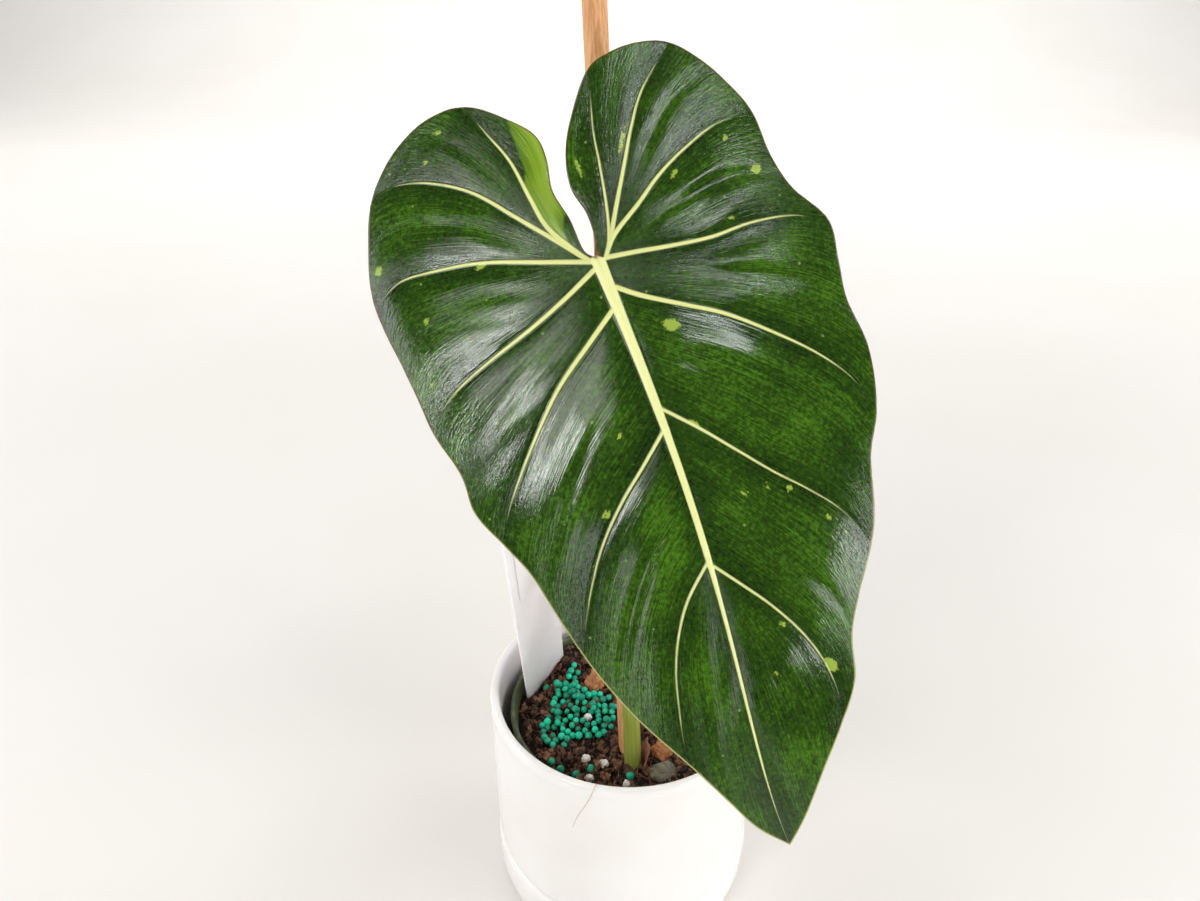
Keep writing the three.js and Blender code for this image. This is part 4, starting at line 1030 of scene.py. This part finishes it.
def makeLeaf():
    # living blade: waxed dark green skin over paler veins; a window's light slides along its quilted folds
    material, add, place = newMaterial("waxyLeafSkin")
    flow = add("UVMap", uv_map="flow")
    marks = {key: add("Attribute", attribute_name=key).outputs["Fac"]
             for key in ("sectorGap", "fleckGap", "veinGap", "ribGap", "scarGap", "marginGap", "underside")}
    height = add("SeparateXYZ", [place]).outputs["Z"]

    # green mottled at four sizes: soft clouds, fine lines and short dashes that run outwards, and cells
    cloud = add("TexNoise", {"Vector": place, "Detail": 2}, 16)
    cells = add("TexNoise", {"Vector": place, "Detail": 4, "Roughness": 0.7}, 1.1)
    grains = []
    for long, wide in ((26, 0.62), (2.6, 0.8)):
        drawnOut = add("Mapping", {"Vector": flow, "Scale": (1 / long, 1 / wide, 1)})
        grains.append(add("TexNoise", {"Vector": drawnOut, "Scale": 1, "Detail": 3, "Roughness": 0.55}))
    streak, dash = grains
    # painted shade: darker in the folds by the veins, lighter in the middle of the panels
    tone = add("MapRange", [marks["veinGap"], 0.3, 7, -0.045, 0.015])
    for grain, amount in ((streak, 0.25), (dash, 0.2), (cells, 0.35), (cloud, 0.2)):
        tone = add("Math", [grain, amount, tone], operation="MULTIPLY_ADD")
    skin = add("ValToRGB", [tone], stops=[(0.38, "#0f2303"), (0.62, "#4c7a18"), (0.5, "#274606")])
    ragged = add("Math", [cells, 3.2, -1.6], operation="MULTIPLY_ADD")

    # pale pin-prick glands, one every centimetre or so
    marks["glandGap"] = add("TexVoronoi", {"Vector": place}, 8)

    # the yellow-green sector is brightest where it is broad, and streaked like the rest
    broad = add("MapRange", [marks["sectorGap"], -5, 0, 0.1, -0.45])
    sectorTone = add("Math", [streak, 1.4, broad], operation="MULTIPLY_ADD")
    sectorTint = add("ValToRGB", [sectorTone],
                     stops=[(0.2, "#57790c"), (0.95, "#97b53f"), (0.5, "#7a9c20")])

    # what lies over the green: mark, gap where it is full, gap where it ends, strength, tint, raggedness
    for key, full, end, strength, tint, rough in (
            ("glandGap", 0.03, 0.07, 0.45, colour("#a8c46a"), 0),
            ("sectorGap", -0.3, 0.4, 0.9, sectorTint, 0.4),
            ("fleckGap", -0.15, 0.25, 0.9, colour("#a0b84a"), 0.7),
            ("veinGap", -0.35, 0.12, 0.96, colour("#e6ea98"), 0.06),
            ("ribGap", -0.35, 0.08, 0.96, colour("#e9eca2"), 0.06),
            ("scarGap", 0.5, 1.5, 0.8, colour("#8a5a35"), 0.6)):
        gap = add("Math", [ragged, rough, marks[key]], operation="MULTIPLY_ADD")
        share = add("MapRange", [gap, full, end, strength, 0], interpolation_type="SMOOTHSTEP")
        skin = add("Mix", {0: share, 6: skin, 7: tint}, data_type="RGBA")

    # the cut-thin margin dries reddish above and yellow towards the tip; the underside is paler and dull
    upper = add("MapRange", [height, 0.2, 0.28])
    rimTint = add("Mix", {0: upper, 6: colour("#b9b56a"), 7: colour("#5e3a24")}, data_type="RGBA")
    rimShare = add("MapRange", [marks["marginGap"], 0.2, 0.6, 0.85, 0], interpolation_type="SMOOTHSTEP")
    skin = add("Mix", {0: rimShare, 6: skin, 7: rimTint}, data_type="RGBA")
    greenUnder = add("Mix", {0: 0.75, 6: skin, 7: colour("#64803f")}, data_type="RGBA")
    skin = add("Mix", {0: marks["underside"], 6: skin, 7: greenUnder}, data_type="RGBA")

    # fine lines in the middle of the panels, short dashes towards the margin
    nearEdge = add("MapRange", [marks["marginGap"], 2, 24, 1.3, 0.1])
    dashed = add("Math", [dash, nearEdge], operation="MULTIPLY")
    relief = add("Math", [streak, 0.42, dashed], operation="MULTIPLY_ADD")
    gloss = add("MapRange", [cells, 0.3, 0.75, 0.07, 0.15])
    dullVein = add("MapRange", [marks["veinGap"], -0.2, 0.3, 0.4, gloss])
    dull = add("Mix", {0: marks["underside"], 2: dullVein, 3: 0.6})
    return finished(material, skin, (relief, 1, 0.1), Roughness=dull, IOR=1.5)


seat(leaf, makeLeaf(), "leaf", "leaf_blade")
print("leaf spanned:", len(leaf.data.polygons), "faces")


# Loose root hair over the pot's front lip
hairLook = {
    "path": [(-8.6, -50, 91.6), (-9.3, -52.6, 100), (-10, -55, 103.3), (-10.9, -57.6, 102.8),
             (-12.3, -58.2, 98.9), (-14.4, -57.4, 93.2), (-16.9, -56.6, 87), (-18.9, -56, 79.7)],
    "radii": (0.16, 0.08), "rings": 40, "sides": 8,
}
rootHair = stemAlong("rootHair", hairLook)
mark(rootHair, "tint", 1)
# dried root hair: a pale straw-brown thread
seat(rootHair, makePlantLitter("rootHairSkin", "#6d5844", "#c9b59a", 0.7, 0.8), "rhizome")

# Table top: flat under the plant, and swept up behind it in one soft curve
tableLook = {"dark": "#e6e3de", "light": "#eae7e3", "halfWidth": 6000, "sweepFrom": 2200, "sweepRadius": 1200}
sweepFrom, sweepRadius = tableLook["sweepFrom"], tableLook["sweepRadius"]
sweep = [(y, 0) for y in (-4000, -1000, 0, 1000, sweepFrom)]
for step in range(6, 91, 6):
    up, behind = polar(sweepRadius, math.radians(step))
    sweep.append((sweepFrom + behind, sweepRadius - up))
sweep.append((sweepFrom + sweepRadius, 3500))
across = (-tableLook["halfWidth"], 0, tableLook["halfWidth"])
tableTop = addSheet("tableTop", np.array([[(x, y, z) for x in across] for y, z in sweep]))
bpy.ops.object.shade_smooth()
# white laminate board, satin and faintly mottled; it meets the soft light as plain near-white
laminate = makeMottled("whiteLaminate", 350, 2, [(0.3, tableLook["dark"]), (0.7, tableLook["light"])],
                       Roughness=0.55)
tableTop.data.materials.append(laminate)
tableTop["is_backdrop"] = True

# Lights, in metres and watts: each faces the leaf's middle and is white, unless it says otherwise
lightLook = {
    "windowPanel": {"at": (-0.6, -0.91, 1.11), "size": (0.75, 0.34), "roll": 39, "watts": 3.4,
                    "colour": "#fffdf9"},
    "brightStrip": {"at": (-0.72, -0.99, 0.92), "size": (0.62, 0.07), "roll": 44, "watts": 3.8},
    "overhead": {"at": (0.4, -0.57, 1.4), "size": (0.62, 0.035), "watts": 2.1, "colour": "#fafcff"},
    "lowRight": {"at": (0.98, -0.9, 0.68), "size": (0.6, 0.12), "roll": 45, "watts": 3.4},
    "lowLeft": {"at": (-0.28, -1.38, 0.38), "size": (0.15, 0.7), "watts": 1.8},
    "rightPanel": {"at": (1.3, -0.5, 0.38), "to": (-0.03, -0.03, 0.12), "size": (0.6, 0.6), "watts": 8.2},
    "leftPanel": {"at": (-1.35, -0.25, 0.6), "to": (-0.03, -0.03, 0.12), "size": (0.6, 0.6), "watts": 5},
    "leftBack": {"at": (-1.7, 0.9, 1.5), "to": (0, 0.2, 0), "size": (1.2, 1), "watts": 13},
    "rightBack": {"at": (1.8, 0.9, 1.4), "to": (0, 0.2, 0), "size": (1.2, 1), "watts": 15},
    "backWash": {"at": (0, 1.5, 2), "to": (0, 3.4, 0.5), "size": (4.6, 0.7), "watts": 74},
}
for name, look in lightLook.items():
    lamp = bpy.data.lights.new(name, "AREA")
    lamp.shape = "RECTANGLE"
    lamp.size, lamp.size_y = look["size"]
    lamp.energy = look["watts"]
    lamp.color = colour(look.get("colour", "#ffffff"))[:3]
    light = bpy.data.objects.new(name, lamp)
    facing = Vector(look.get("to", (0, -0.06, 0.24))) - Vector(look["at"])
    towards = facing.to_track_quat("-Z", "Y").to_matrix().to_4x4()
    light.matrix_world = (
        Matrix.Translation(look["at"]) @ towards @ Matrix.Rotation(math.radians(look.get("roll", 0)), 4, "Z"))
    bpy.context.collection.objects.link(light)

# the room behind the plant glows, and the side behind the camera is dim
world = bpy.data.worlds.new("softStudio")
world.use_nodes = True
room = world.node_tree
facing = addNode(room, "TexCoord").outputs["Generated"]
behind = addNode(room, "SeparateXYZ", [facing]).outputs["Y"]
glow = addNode(room, "MapRange", [behind, -0.1, 0.5, 0.13, 0.7])
feed(room, room.nodes["Background"].inputs["Color"], colour("#fbfaf8"))
feed(room, room.nodes["Background"].inputs["Strength"], glow)
bpy.context.scene.world = world
bpy.context.scene.view_settings.view_transform = "Standard"

cameraLook = {"at": (0, -0.274712, 0.369305), "lens": 25.722, "right": (0.998950, 0.045419, 0.005944),
              "up": (-0.027291, 0.485911, 0.873582)}
lens = bpy.data.cameras.new("photoCamera")
lens.sensor_width = 36
lens.lens = cameraLook["lens"]
lens.clip_start = 0.01
camera = bpy.data.objects.new("photoCamera", lens)
right, up = Vector(cameraLook["right"]), Vector(cameraLook["up"])
turned = Matrix((right, up, right.cross(up))).transposed().to_4x4()
camera.matrix_world = Matrix.Translation(cameraLook["at"]) @ turned
bpy.context.collection.objects.link(camera)
bpy.context.scene.camera = camera
print("stage set")

low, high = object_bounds()
